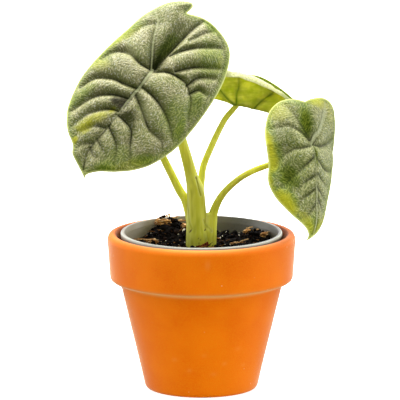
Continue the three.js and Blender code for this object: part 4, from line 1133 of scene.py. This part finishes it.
def blade(name, leaf, seed, materials, under_pitch):
    """A leaf blade: a fine upper face, a coarser underside that shares its margin, and a thin edge."""
    leaf = prepared_leaf(leaf)
    right, left = (evenly(side, BLADE_PITCH * 1.1) for side in leaf["sides"])
    outline = np.concatenate([right[:-1], left[:-1]])
    flat_upper, upper_faces = flat_mesh(outline, BLADE_PITCH)
    flat_lower, lower_faces = flat_mesh(outline, under_pitch)
    above, below = quilting(leaf, flat_upper), quilting(leaf, flat_lower)

    # the skin is smoother where it has yellowed
    crest = wrinkles(flat_upper, upper_faces, above, seed)
    crest = crest * (1 - 0.6 * spread(flat_upper, leaf["patches"]["yellowing"], seed))
    point, normal = sheet_at(leaf, *flat_upper.T)
    lift = above["height"] + 0.12 * above["pale_rib"] + WRINKLE_HEIGHT * crest
    upper = point + normal * lift[:, None]
    # painted light and shade: the leaf's dust value sets how much darker faces that look down are painted,
    # and how much paler those that look up
    turned_down_shade = leaf["dust"] * turned_away(point + normal * above["height"][:, None], normal, upper_faces)

    point, normal = sheet_at(leaf, *flat_lower.T)
    thickness = BLADE_THICKNESS - (BLADE_THICKNESS - MARGIN_THICKNESS) * bell(below["edge"], 1.2)
    lower = point + normal * (below["height"] - thickness - below["rib"])[:, None]

    # the crests are painted paler where the leaf looks up, and the painted shade deepens where it looks down
    above["crest"], below["crest"] = crest - turned_down_shade, np.zeros(len(lower))
    above["hollow_shade"] = 1 - (1 - above["hollow_shade"]) * (1 - 0.6 * np.clip(turned_down_shade, 0, 1))
    # painted glow of light through the thin margin, on both faces
    above["rim"] = bell(above["edge"], leaf["upper_rim"])
    below["rim"] = bell(below["edge"], leaf["pale_rim"])

    def join(key):
        """A value on the upper face, and then on the underside."""
        return np.concatenate([above[key], below[key]])

    attributes = {key: join(key) for key in ("crest", "vein", "hollow_shade", "pale_rib", "rim")}
    flat = np.concatenate([flat_upper, flat_lower])
    for key in ("yellowing", "bruise", "pale_highlight", "green_shade", "shadowed", "fresh"):
        attributes[key] = spread(flat, leaf["patches"].get(key, ()), seed)
    # the shadowed patches join the painted shade
    attributes["hollow_shade"] = np.maximum(attributes["hollow_shade"], attributes.pop("shadowed"))
    attributes["fresh"] = np.clip(attributes["fresh"] + 0.7 * bell(join("edge"), 4), 0, 1)
    shift = len(upper)
    faces = [
        np.concatenate([upper_faces, lower_faces[:, ::-1] + shift]),
        band_faces(len(outline), shift),
    ]
    make_piece(
        name + "_quilted", np.concatenate([upper, lower]), faces, materials[0], [name], attributes,
        second=(materials[1], len(upper_faces)),
    )


# Stalks


def route_at(route, t):
    """Places and radii along a smooth route through the given points."""
    p = np.asarray(route, float)
    ends = np.concatenate([[2 * p[0] - p[1]], p, [2 * p[-1] - p[-2]]])
    k = np.minimum(t.astype(int), len(p) - 2)
    s = (t - k)[:, None]
    a, b, c, d = (ends[k + step] for step in range(4))
    v, w = (c - a) / 2, (d - b) / 2
    return (2 * b - 2 * c + v + w) * s**3 + (3 * c - 3 * b - 2 * v - w) * s**2 + v * s + b


def loft(route, sides, ring_step):
    """Rings of points round a route that don't twist: their places, outward directions and angles."""
    fine = route_at(route, np.linspace(0, len(route) - 1, 400))
    line = evenly(fine, ring_step)
    centre, radius = line[:, :3], line[:, 3]
    tangent = np.gradient(centre, axis=0)
    tangent /= np.linalg.norm(tangent, axis=1)[:, None]
    turn = np.linspace(0, 2 * math.pi, sides, endpoint=False)
    front = np.array([0.0, -1.0, 0.0])
    outward = []
    for direction in tangent:
        front = front - direction * (front @ direction)
        front /= np.linalg.norm(front)
        side = np.cross(direction, front)
        outward.append(np.outer(np.cos(turn), front) + np.outer(np.sin(turn), side))
    return centre, radius, np.array(outward), turn


def tube_faces(rings, sides):
    """Quads round a tube of rings, and the fans that close its ends with one more point each."""
    i = np.arange(sides)
    j = (i + 1) % sides
    band = np.stack([i, j, sides + j, sides + i], 1)
    quads = np.concatenate([band + k * sides for k in range(rings - 1)])
    last = (rings - 1) * sides
    foot, end = np.full(sides, rings * sides), np.full(sides, rings * sides + 1)
    return [quads, np.concatenate([np.stack([foot, j, i], 1), np.stack([end, last + i, last + j], 1)])]


def stalk(name, route, sides, ring_step, seed, material, relief=None):
    """A leaf's stalk. relief says how far it is pushed out, and its colours, at each place."""
    centre, radius, outward, turn = loft(route, sides, ring_step)
    rings = len(centre)
    arc = np.arange(rings) * ring_step
    rows = (np.repeat(arc / 14, sides), *(np.tile(f(turn) * 2.2, rings) for f in (np.cos, np.sin)))
    around = np.stack(rows, 1)
    swell = 0.12 * noise_at(around, seed).reshape(rings, sides)
    places = centre[:, None] + outward * (radius[:, None] + swell)[..., None]
    shade = np.clip(0.5 * noise_at(around * 1.7, seed + 3).reshape(rings, sides), 0, 1)
    scar = pale_tint = np.zeros((rings, sides))
    if relief:
        push, extra_shade, scar, pale_tint = relief(places, outward)
        places = places + outward * push[..., None]
        shade = np.clip(shade + extra_shade, 0, 1)
    points = np.concatenate([places.reshape(-1, 3), centre[:1], centre[-1:]])
    colours = dict(shade=shade, scar=scar, pale_tint=pale_tint)
    attributes = {key: np.concatenate([values.ravel(), [0, 0]]) for key, values in colours.items()}
    make_piece(name + "_grown", points, tube_faces(rings, sides), material, [name], attributes)


def seat_of(leaf, radius):
    """The end of a stalk, just under its blade's upper face."""
    ready = prepared_leaf(leaf)
    point, normal = sheet_at(ready, np.zeros(1), np.zeros(1))
    height = quilting(ready, np.zeros((1, 2)))["height"]
    x, y, z = point[0] + normal[0] * (height[0] - BLADE_THICKNESS - 0.5)
    return (x, y, z, radius)


def column_relief(places, outward):
    """The thick column that the large leaf's stalk forms: paler on the left, darker towards its foot."""
    z = places[..., 2]
    to_left = np.clip(outward[..., 0] * -1.2, 0, 1)
    # the column is paler on its left side, low down
    pale_tint = 0.3 * rise(z, *COLUMN_PALE_TINT) * to_left
    shade = 0.55 * rise(z, *COLUMN_SHADE)
    return marked(places, outward, np.zeros(z.shape), shade, pale_tint)


def web_relief(places, outward):
    """The right leaf's stalk, with the thin web of its sheath that joins it to the column."""
    z = places[..., 2]
    span = rise(z, *WEB_TOP) * rise(z, *WEB_FOOT)
    web = rise(outward[..., 0], 0, -1) ** 2 * span
    shade = 0.25 * rise(z, *RIGHT_SHADE) * (1 - web)
    return marked(places, outward, WEB_REACH * web, shade, 0.45 * web)


def marked(places, outward, push, shade, pale_tint):
    """Adds the sheath edges and the scars to a stalk's relief and colour."""
    x, z = places[..., 0], places[..., 2]
    front = outward[..., 1] < 0.25
    shape = x.shape
    flat = np.stack([x.ravel(), z.ravel()], 1)
    for line, width, depth, dark in SHEATH_EDGES:
        distance = nearest(spline(line, 6), flat)[0]
        near = bell(distance, width).reshape(shape) * front
        push = push - depth * near
        shade = shade + dark * near
        bright = bell(distance - 1.6 * width, width).reshape(shape) * front
        pale_tint = np.maximum(pale_tint, 0.3 * bright)
    scar = np.zeros(shape)
    for middle, radii, turn, strength in STEM_SCARS:
        u, v = in_spot(x, z, middle, radii, turn)
        spot = strength * np.clip(1.6 * (1 - u**2 - v**2), 0, 1) * front
        scar = np.maximum(scar, spot)
        push = push - 0.3 * spot
    return push, shade, scar, pale_tint


# Pots


def rounded(profile, reach, steps=5):
    """A profile with its corners rounded: reach is how far back along the edges a round starts."""
    points = []
    count = len(profile)
    for k, corner in enumerate(profile):
        corner = np.array(corner, float)
        before = np.array(profile[k - 1], float) - corner
        after = np.array(profile[(k + 1) % count], float) - corner
        cut = min(reach, 0.45 * np.linalg.norm(before), 0.45 * np.linalg.norm(after))
        start = corner + before / np.linalg.norm(before) * cut
        end = corner + after / np.linalg.norm(after) * cut
        for t in np.linspace(0, 1, steps):
            points.append((1 - t) ** 2 * start + 2 * t * (1 - t) * corner + t**2 * end)
    return np.array(points)


def turned(profile, segments, wander):
    """A closed profile turned about the axis. wander moves each point in or out, as thrown clay does."""
    count = len(profile)
    turn = np.linspace(0, 2 * math.pi, segments, endpoint=False)
    radius, height = profile.T
    grid_turn, grid_radius = np.meshgrid(turn, radius, indexing="ij")
    grid_height = np.broadcast_to(height, grid_radius.shape)
    grid_radius = grid_radius + wander(grid_turn, grid_radius, grid_height)
    points = np.stack(
        [grid_radius * np.cos(grid_turn), grid_radius * np.sin(grid_turn), grid_height], -1
    )
    i = np.arange(segments)[:, None] * count
    j = ((np.arange(segments)[:, None] + 1) % segments) * count
    k = np.arange(count)
    following = (k + 1) % count
    quads = np.stack([i + k, j + k, j + following, i + following], -1).reshape(-1, 4)
    return points.reshape(-1, 3), quads


def body_radius(z):
    """The outer radius of the terracotta pot at a height below its band."""
    return POT_BASE_RADIUS + POT_BODY_FLARE * z


def terracotta_pot(material):
    """A pot thrown or pressed in one turned shape, with dents and rings of the turning."""
    top = POT_HEIGHT
    profile = [
        (POT_DRAIN_RADIUS, 0),
        (POT_BASE_RADIUS - 1, 0),
        (body_radius(2), 2),
        (body_radius(BAND_BOTTOM - 2), BAND_BOTTOM - 2),
        (body_radius(BAND_BOTTOM) + 0.6, BAND_BOTTOM),
        (BAND_BOTTOM_RADIUS - 1.2, BAND_BOTTOM),
        (BAND_BOTTOM_RADIUS, BAND_BOTTOM + 2),
        (BAND_TOP_RADIUS, top - 3.5),
        (BAND_TOP_RADIUS - 1.4, top - 0.6),
        (BAND_TOP_RADIUS - 3, top),
        (POT_MOUTH_RADIUS + 1.2, top),
        (POT_MOUTH_RADIUS, top - 1.6),
        (POT_INNER_BASE_RADIUS + 1, POT_FLOOR + 1.5),
        (POT_INNER_BASE_RADIUS - 1.5, POT_FLOOR),
        (POT_DRAIN_RADIUS, POT_FLOOR),
    ]
    smooth = rounded(profile, 1.6)
    loop = np.concatenate([smooth, smooth[:1]])
    profile = evenly(loop, POT_PITCH)[:-1]

    def wander(turn, radius, height):
        """Broad dents, and rings 2.6 mm apart."""
        flat = np.stack([np.cos(turn).ravel() * 1.5, np.sin(turn).ravel() * 1.5, height.ravel() / 30], 1)
        dents = 0.18 * noise_at(flat, 3).reshape(turn.shape)
        throwing = 0.03 * np.sin(height * 2 * math.pi / 2.6 + 0.5 * np.sin(turn))
        return (dents + throwing) * (height > 1)

    points, quads = turned(profile, TURNED_SIDES, wander)
    make_piece(
        "terracotta_pot_turned", points, [quads], material, ["terracotta_pot"],
        pot_wear(*points.T),
    )


def pot_wear(x, y, z):
    """Where the terracotta has rubbed pale and where highlight is painted on it, where shade is painted on
    it, and how dusty its sheen is.
    """
    away = np.hypot(x, y)
    outside = away > body_radius(BAND_BOTTOM - 4)
    mouth = bell(z - POT_HEIGHT, 1.8)
    to_front, to_right = -y / BAND_TOP_RADIUS, x / BAND_TOP_RADIUS
    # painted highlight along the band's lower edge and on the front of the mouth; the scuffs below are wear
    wear_and_highlight = 0.9 * (bell(z - BAND_BOTTOM + 0.6, 1.7) * outside) + 0.3 * mouth * np.clip(to_front, 0, 1)
    for middle_x, middle_z, wide, high, strength in SCUFFS:
        u, v = (x - middle_x) / wide, (z - middle_z) / high
        wear_and_highlight = np.maximum(wear_and_highlight, strength * np.exp(-(u**2) - v**2) * (y < 0))
    # painted shade: the inside wall below the rim, and the right of the mouth, are darker
    inside_wall = POT_MOUTH_RADIUS + (z - POT_HEIGHT) * POT_BODY_FLARE
    inner = rise(inside_wall + 2.2 - away, 0, 1.5) * (z > POT_FLOOR + 2)
    pot_shade = np.clip(0.75 * inner + 0.5 * mouth * np.clip(to_right, 0, 1), 0, 1)
    return dict(wear_and_highlight=wear_and_highlight, pot_shade=pot_shade, sheen=1 - 0.75 * np.maximum(mouth, inner))


def grower_radius(z):
    """The outer radius of the grower's pot at a height."""
    share = (z - GROWER_BOTTOM) / (GROWER_TOP - GROWER_BOTTOM)
    return GROWER_BASE_RADIUS + (GROWER_NECK_RADIUS - GROWER_BASE_RADIUS) * share


def grower_pot(material):
    """The thin pot that the plant was grown in, with its thickened lip."""
    lip_bottom = GROWER_TOP - GROWER_LIP_HEIGHT
    floor = GROWER_BOTTOM + GROWER_WALL
    profile = [
        (0.4, GROWER_BOTTOM),
        (GROWER_BASE_RADIUS - 1, GROWER_BOTTOM),
        (GROWER_BASE_RADIUS, GROWER_BOTTOM + 1),
        (grower_radius(lip_bottom), lip_bottom),
        (GROWER_LIP_RADIUS - 0.3, lip_bottom),
        (GROWER_LIP_RADIUS, lip_bottom + 0.6),
        (GROWER_LIP_RADIUS, GROWER_TOP - 0.8),
        (GROWER_LIP_RADIUS - 0.7, GROWER_TOP),
        (GROWER_LIP_RADIUS - GROWER_LIP_WIDTH, GROWER_TOP),
        (grower_radius(lip_bottom) - GROWER_WALL, lip_bottom),
        (grower_radius(floor) - GROWER_WALL, floor),
        (0.4, floor),
    ]
    profile = rounded(profile, 0.5, 4)

    def out_of_round(turn, radius, height):
        """A lip that is very slightly oval."""
        return 0.12 * np.sin(2 * turn) * (height > lip_bottom)

    points, quads = turned(profile, TURNED_SIDES, out_of_round)
    away = np.hypot(points[:, 0], points[:, 1])
    # painted highlight along the top of the lip
    lip_highlight = (points[:, 2] > GROWER_TOP - 2) * (away > GROWER_LIP_RADIUS - 1.1)
    # painted light and shade: from pale on the left to dark on the right
    side_shade = np.clip(0.5 + points[:, 0] / 50, 0, 1)
    # thin plastic gives way: towards its lip the pot stands higher at the back than at the front
    share = np.maximum(points[:, 2] - GROWER_LEAN_FROM, 0) / (GROWER_TOP - GROWER_LEAN_FROM)
    points[:, 2] += GROWER_LEAN * points[:, 1] * share
    make_piece(
        "grower_pot_moulded", points, [quads], material, ["grower_pot"],
        dict(lip_highlight=lip_highlight, side_shade=side_shade),
    )


# Potting mix


def soil_height(x, y):
    """The height of the mix's top, without its lumps."""
    height = SOIL_LEVEL
    for mound in MOUNDS:
        away = np.hypot(x - mound["x"], y - mound["y"])
        height = height + mound["height"] * bell(away, mound["radius"])
    return height


def potting_soil(material):
    """The body of the potting mix, with a crumbly top."""
    gap = 0.3
    bottom = GROWER_BOTTOM + GROWER_WALL + gap

    def wall(z):
        """The radius of the mix, a gap inside the grower's pot."""
        return grower_radius(z) - GROWER_WALL - gap

    turn = np.linspace(0, 2 * math.pi, SOIL_SIDES, endpoint=False)
    outline = wall(SOIL_LEVEL) * np.stack([np.cos(turn), np.sin(turn)], 1)
    flat, faces = flat_mesh(outline, SOIL_PITCH)
    lumps = sum(height * noise_on(flat, size, seed) for size, height, seed in SOIL_LUMPS)
    fade = rise(wall(SOIL_LEVEL) - np.hypot(*flat.T), 0, 2)
    top = np.column_stack([flat, soil_height(*flat.T) - 0.6 + lumps * fade])
    base = np.column_stack([outline * wall(bottom) / wall(SOIL_LEVEL), np.full(SOIL_SIDES, bottom)])
    walls = band_faces(SOIL_SIDES, len(top))
    under = np.stack([np.full(SOIL_SIDES, len(top) + SOIL_SIDES), walls[:, 2], walls[:, 1]], 1)
    points = np.concatenate([top, base, [[0, 0, bottom]]])
    make_piece(
        "potting_soil_body", points, [np.concatenate([faces, under]), walls], material,
        ["potting_soil"], dict(tone=np.full(len(points), 0.05)),
    )


def lump_shape(subdivisions):
    """The corners and triangles of a ball."""
    ball = bmesh.new()
    bmesh.ops.create_icosphere(ball, subdivisions=subdivisions, radius=1)
    corners = np.array([v.co for v in ball.verts])
    triangles = np.array([[v.index for v in f.verts] for f in ball.faces])
    ball.free()
    return corners, triangles


def random_turn(random):
    """A rotation that is as likely to point anywhere."""
    q = random.normal(size=4)
    w, x, y, z = q / np.linalg.norm(q)
    return np.array(
        [
            [1 - 2 * (y * y + z * z), 2 * (x * y - z * w), 2 * (x * z + y * w)],
            [2 * (x * y + z * w), 1 - 2 * (x * x + z * z), 2 * (y * z - x * w)],
            [2 * (x * z - y * w), 2 * (y * z + x * w), 1 - 2 * (x * x + y * y)],
        ]
    )


def scatter(name, lumps, subdivisions, seed, material):
    """Many rough lumps in one piece. A lump is a centre, a size along its own axes, a rotation or none,
    and a tone."""
    random = np.random.default_rng(seed)
    corners, triangles = lump_shape(subdivisions)
    points, faces, tones = [], [], []
    for k, (centre, size, turn, tone) in enumerate(lumps):
        rough = 1 + 0.28 * random.uniform(-1, 1, len(corners))
        shape = corners * rough[:, None] * np.array(size) / 2
        shape = shape @ (random_turn(random) if turn is None else turn).T
        points.append(shape + np.array(centre))
        faces.append(triangles + k * len(corners))
        tones.append(np.full(len(corners), tone))
    tone = np.concatenate(tones)
    make_piece(
        name, np.concatenate(points), [np.concatenate(faces)], material, (), dict(tone=tone),
        smooth=False,
    )


def lying(turn, tilt=0):
    """A rotation for a long piece that lies on the mix: its turn about +Z, then how far it tips up."""
    tip_up = Matrix.Rotation(math.radians(-tilt), 3, "Y")
    return np.array(Matrix.Rotation(math.radians(turn), 3, "Z") @ tip_up)


def on_mix(x, y, lift):
    """A place on the mix, lifted a little."""
    return (x, y, soil_height(x, y) + lift)


def is_free(x, y, wall, gap):
    """Whether a place is within the wall, and no nearer than the gap to the column's middle."""
    return math.hypot(x, y) <= wall and math.hypot(x - COLUMN_X, y) >= gap


def crumbs(material):
    """Crumbs of peat and coir all over the mix, small ones far more often than large ones."""
    random = np.random.default_rng(31)
    lumps = []
    wall = grower_radius(SOIL_LEVEL) - GROWER_WALL - 1.5
    while len(lumps) < CRUMBS:
        x, y = random.uniform(-wall, wall, 2)
        if not is_free(x, y, wall, 9):
            continue
        size = 1 + 2.8 * random.random() ** 3
        stretch = random.uniform(0.4, 1.5, 3) * size
        tone = random.choice([0.02, 0.12, 0.3, 0.6, 0.95], p=[0.7, 0.16, 0.07, 0.03, 0.04])
        # the crumbs are darker on the right
        if x > DARK_FROM_X:
            tone *= DARK_SIDE_TONE
        lumps.append((on_mix(x, y, 0.25 * size), stretch, None, tone))
    # white grains of perlite dust
    for _ in range(PERLITE_GRAINS):
        away, turn = wall * math.sqrt(random.random()), 2 * math.pi * random.random()
        place = on_mix(away * math.cos(turn), away * math.sin(turn), 1.3)
        lumps.append((place, random.uniform(0.6, 1.1, 3), None, 1))
    # loose crumbs piled on the mound at the left
    for _ in range(PILED_CRUMBS):
        x, y = random.normal(PILE_MIDDLE, PILE_SPREAD)
        if math.hypot(x, y) > wall:
            continue
        size = 1.2 + 2.2 * random.random() ** 2
        pile = random.uniform(0, 5) * math.exp(-(((x - PILE_MIDDLE[0]) / 10) ** 2))
        tone = random.choice([0.02, 0.15, 0.5, 0.95], p=[0.6, 0.25, 0.1, 0.05])
        lumps.append((on_mix(x, y, pile), random.uniform(0.5, 1.4, 3) * size, None, tone))
    scatter("potting_mix_crumbs", lumps, 1, 32, material)


def slivers(material):
    """Slivers and shreds of wood and bark fibre, some where they show most and the rest anywhere."""
    random = np.random.default_rng(41)
    lumps = []
    for x, y, lift, length, width, turn, tilt, tone in SHOWN_SLIVERS:
        lumps.append((on_mix(x, y, lift), (length, width, 0.9), lying(turn, tilt), tone))
    wall = grower_radius(SOIL_LEVEL) - GROWER_WALL - 5
    while len(lumps) < SLIVERS:
        x, y = random.uniform(-wall, wall, 2)
        if not is_free(x, y, wall, 12):
            continue
        size = (random.uniform(3, 8), random.uniform(0.7, 1.5), 0.7)
        turn = lying(random.uniform(0, 360), random.uniform(-25, 25))
        lumps.append((on_mix(x, y, 1.2), size, turn, random.uniform(0.05, 0.5)))
    scatter("potting_mix_slivers", lumps, 2, 42, material)


def bark_chip(number, chip, material):
    """A piece of pine bark: flat, ragged and split along its grain."""
    corners, triangles = lump_shape(CHIP_SUBDIVISIONS)
    grain = np.stack([corners[:, 0] * 1.2, corners[:, 1] * 5, corners[:, 2] * 5], 1)
    split = noise_at(grain, number)
    ragged = noise_at(corners * 2.2, number + 20)
    boxy = np.sign(corners) * np.abs(corners) ** 0.7
    shape = boxy * (0.86 + 0.28 * split + 0.24 * ragged)[:, None] * np.array(chip["size"]) / 2
    shape = shape @ lying(chip["turn"]).T
    place = on_mix(chip["x"], chip["y"], chip["size"][2] * 0.15)
    tone = np.clip(0.5 + 0.9 * split, 0, 1)
    make_piece(
        f"bark_chip_{number}_fibrous", shape + np.array(place), [triangles], material,
        [f"bark_chip_{number}"], dict(tone=tone),
    )


def dry_scrap(material):
    """The dry scrap of an old sheath: a thin strip bent round the foot of the column, torn on top."""
    random = np.random.default_rng(23)
    foot_x, foot_y, _, radius = LARGE_STALK[1]
    steps, levels = SCRAP_STEPS, SCRAP_LEVELS
    turn = np.radians(np.linspace(*SCRAP_SWEEP, steps))
    share = np.linspace(0, 1, steps)
    # taller towards the right, ragged on top, and low again at its right end
    top = (1.2 + 2.6 * share**1.5) * (0.6 + 0.6 * random.random(steps)) * np.clip(8 * (1 - share), 0.2, 1)
    points = []
    for away in SCRAP_FACES:
        for level in np.linspace(0, 1, levels):
            # it leans out towards the top, and is finely crumpled
            out = radius + away + 0.4 * level**2 + 0.12 * np.sin(turn * 60 + level * 3)
            x, y = foot_x + out * np.cos(turn), foot_y + out * np.sin(turn)
            points.append(np.stack([x, y, SCRAP_FOOT + top * level], 1))
    points = np.concatenate(points)
    order = np.concatenate([np.arange(levels), np.arange(levels)[::-1] + levels])
    rings = np.arange(steps)[:, None] + order * steps
    beside = np.roll(rings, -1, 1)
    quads = np.stack([rings[:-1], rings[1:], beside[1:], beside[:-1]], -1).reshape(-1, 4)
    ends = np.array([rings[0], rings[-1][::-1]])
    tone = np.tile(np.clip(0.3 + 0.4 * np.sin(share * 19) ** 2, 0, 1), levels * 2)
    make_piece(
        "dry_sheath_scrap", points, [quads, ends], material, ["dry_sheath"], dict(tone=tone)
    )


# Stage


def camera():
    """The view of the photo, from far away and a little above."""
    tilt = math.radians(CAMERA_TILT)
    target = Vector(CAMERA_TARGET) * MM
    away = Vector((0, -math.cos(tilt), math.sin(tilt)))
    data = bpy.data.cameras.new("photo_view")
    data.sensor_width = SENSOR
    data.lens = SENSOR * CAMERA_DISTANCE / VIEW_WIDTH
    data.clip_end = 100
    viewer = add_object("photo_view", data)
    viewer.location = target + away * CAMERA_DISTANCE * MM
    viewer.rotation_euler = away.to_track_quat("Z", "Y").to_euler()
    bpy.context.scene.camera = viewer
    bpy.context.scene.view_settings.view_transform = "Standard"


def room():
    """A white room that is brighter above, and a floor of white paper."""
    world = bpy.data.worlds.new("studio_light")
    bpy.context.scene.world = world
    world.use_nodes = True
    tree = world.node_tree
    direction = add_node(tree, "TexCoord", {})["Generated"]
    sides = {0: direction, 1: Vector(ROOM_BRIGHT_SIDE).normalized()}
    facing = add_node(tree, "VectorMath", sides, operation="DOT_PRODUCT")["Value"]
    steps = {"Value": facing, "From Min": ROOM_DARK_BELOW, "From Max": 1, "To Min": 0, "To Max": ROOM_BRIGHT}
    strength = add_node(tree, "MapRange", steps)["Result"]
    tree.links.new(strength, tree.nodes["Background"].inputs["Strength"])
    tree.nodes["Background"].inputs["Color"].default_value = linear("#ffffff")
    mesh = bpy.data.meshes.new("studio_floor")
    corners = [(x * FLOOR_REACH, y * FLOOR_REACH, 0) for x, y in ((-1, -1), (1, -1), (1, 1), (-1, 1))]
    mesh.from_pydata(corners, [], [(0, 1, 2, 3)])
    mesh.materials.append(floor_material())
    floor = add_object("studio_floor", mesh)
    # the paper is only a backdrop: it shades and lights nothing
    floor.visible_diffuse = False
    floor.visible_glossy = False
    floor.visible_shadow = False


def aim(lamp, place, target):
    """Puts a lamp in its place and points it at a target."""
    lamp.location = place
    lamp.rotation_euler = (Vector(place) - Vector(target)).to_track_quat("Z", "Y").to_euler()


def round_light(name, place, width, power):
    """A soft round lamp that faces the middle of the plant."""
    data = bpy.data.lights.new(name, "AREA")
    data.shape = "DISK"
    data.size = width
    data.energy = power
    aim(add_object(name, data), place, Vector(CAMERA_TARGET) * MM)


def pot_light(name, place, power):
    """A soft lamp that lights the pots and fades out below the leaves. It leaves no shine."""
    data = bpy.data.lights.new(name, "SPOT")
    data.energy = power
    data.spot_size = math.radians(POT_LAMP_ANGLE)
    data.spot_blend = 1
    data.shadow_soft_size = POT_LAMP_WIDTH
    lamp = add_object(name, data)
    aim(lamp, place, POT_LAMP_AIM)
    lamp.visible_glossy = False


def light_up():
    """Sets up all the lamps."""
    for name, place, width, power in ROUND_LAMPS:
        round_light(name, place, width, power)
    for name, place, power in POT_LAMPS:
        pot_light(name, place, power)


def plant():
    """The four leaves with their stalks."""
    leaf = (leaf_upper_material(), leaf_underside_material())
    stem = stalk_material()
    blade("blade_large", LARGE_LEAF, 1, leaf, 1.6)
    blade("blade_middle", MIDDLE_LEAF, 2, leaf, 0.8)
    blade("blade_right", RIGHT_LEAF, 3, leaf, 1.6)
    blade("blade_rear", REAR_LEAF, 4, leaf, 1.6)
    stalk("stalk_large", LARGE_STALK + [seat_of(LARGE_LEAF, 1.6)], 72, RING_STEP, 11, stem, column_relief)
    stalk("stalk_middle", MIDDLE_STALK + [seat_of(MIDDLE_LEAF, 1.8)], 32, RING_STEP * 1.5, 12, stem)
    stalk("stalk_right", RIGHT_STALK + [seat_of(RIGHT_LEAF, 1.6)], 48, RING_STEP, 13, stem, web_relief)
    stalk("stalk_rear", REAR_STALK + [seat_of(REAR_LEAF, 1.6)], 32, RING_STEP * 1.5, 14, stem)


def pots_and_mix():
    """Both pots, the potting mix and what lies on it."""
    terracotta_pot(terracotta_material())
    grower_pot(grower_pot_material())
    mix = crumb_material("peat_and_coir_mix_moist", "#040201", "#301c10", "#f0e8d2")
    bark = crumb_material("pine_bark_dry_split", "#22140a", "#b07a40", "#ecd0a0")
    scrap = crumb_material("dead_sheath_papery", "#2c0f08", "#8a4420", "#b87a44")
    potting_soil(mix)
    crumbs(mix)
    slivers(bark)
    for number, chip in enumerate(BARK_CHIPS, 1):
        bark_chip(number, chip, bark)
    dry_scrap(scrap)


camera()
room()
light_up()
plant()
pots_and_mix()
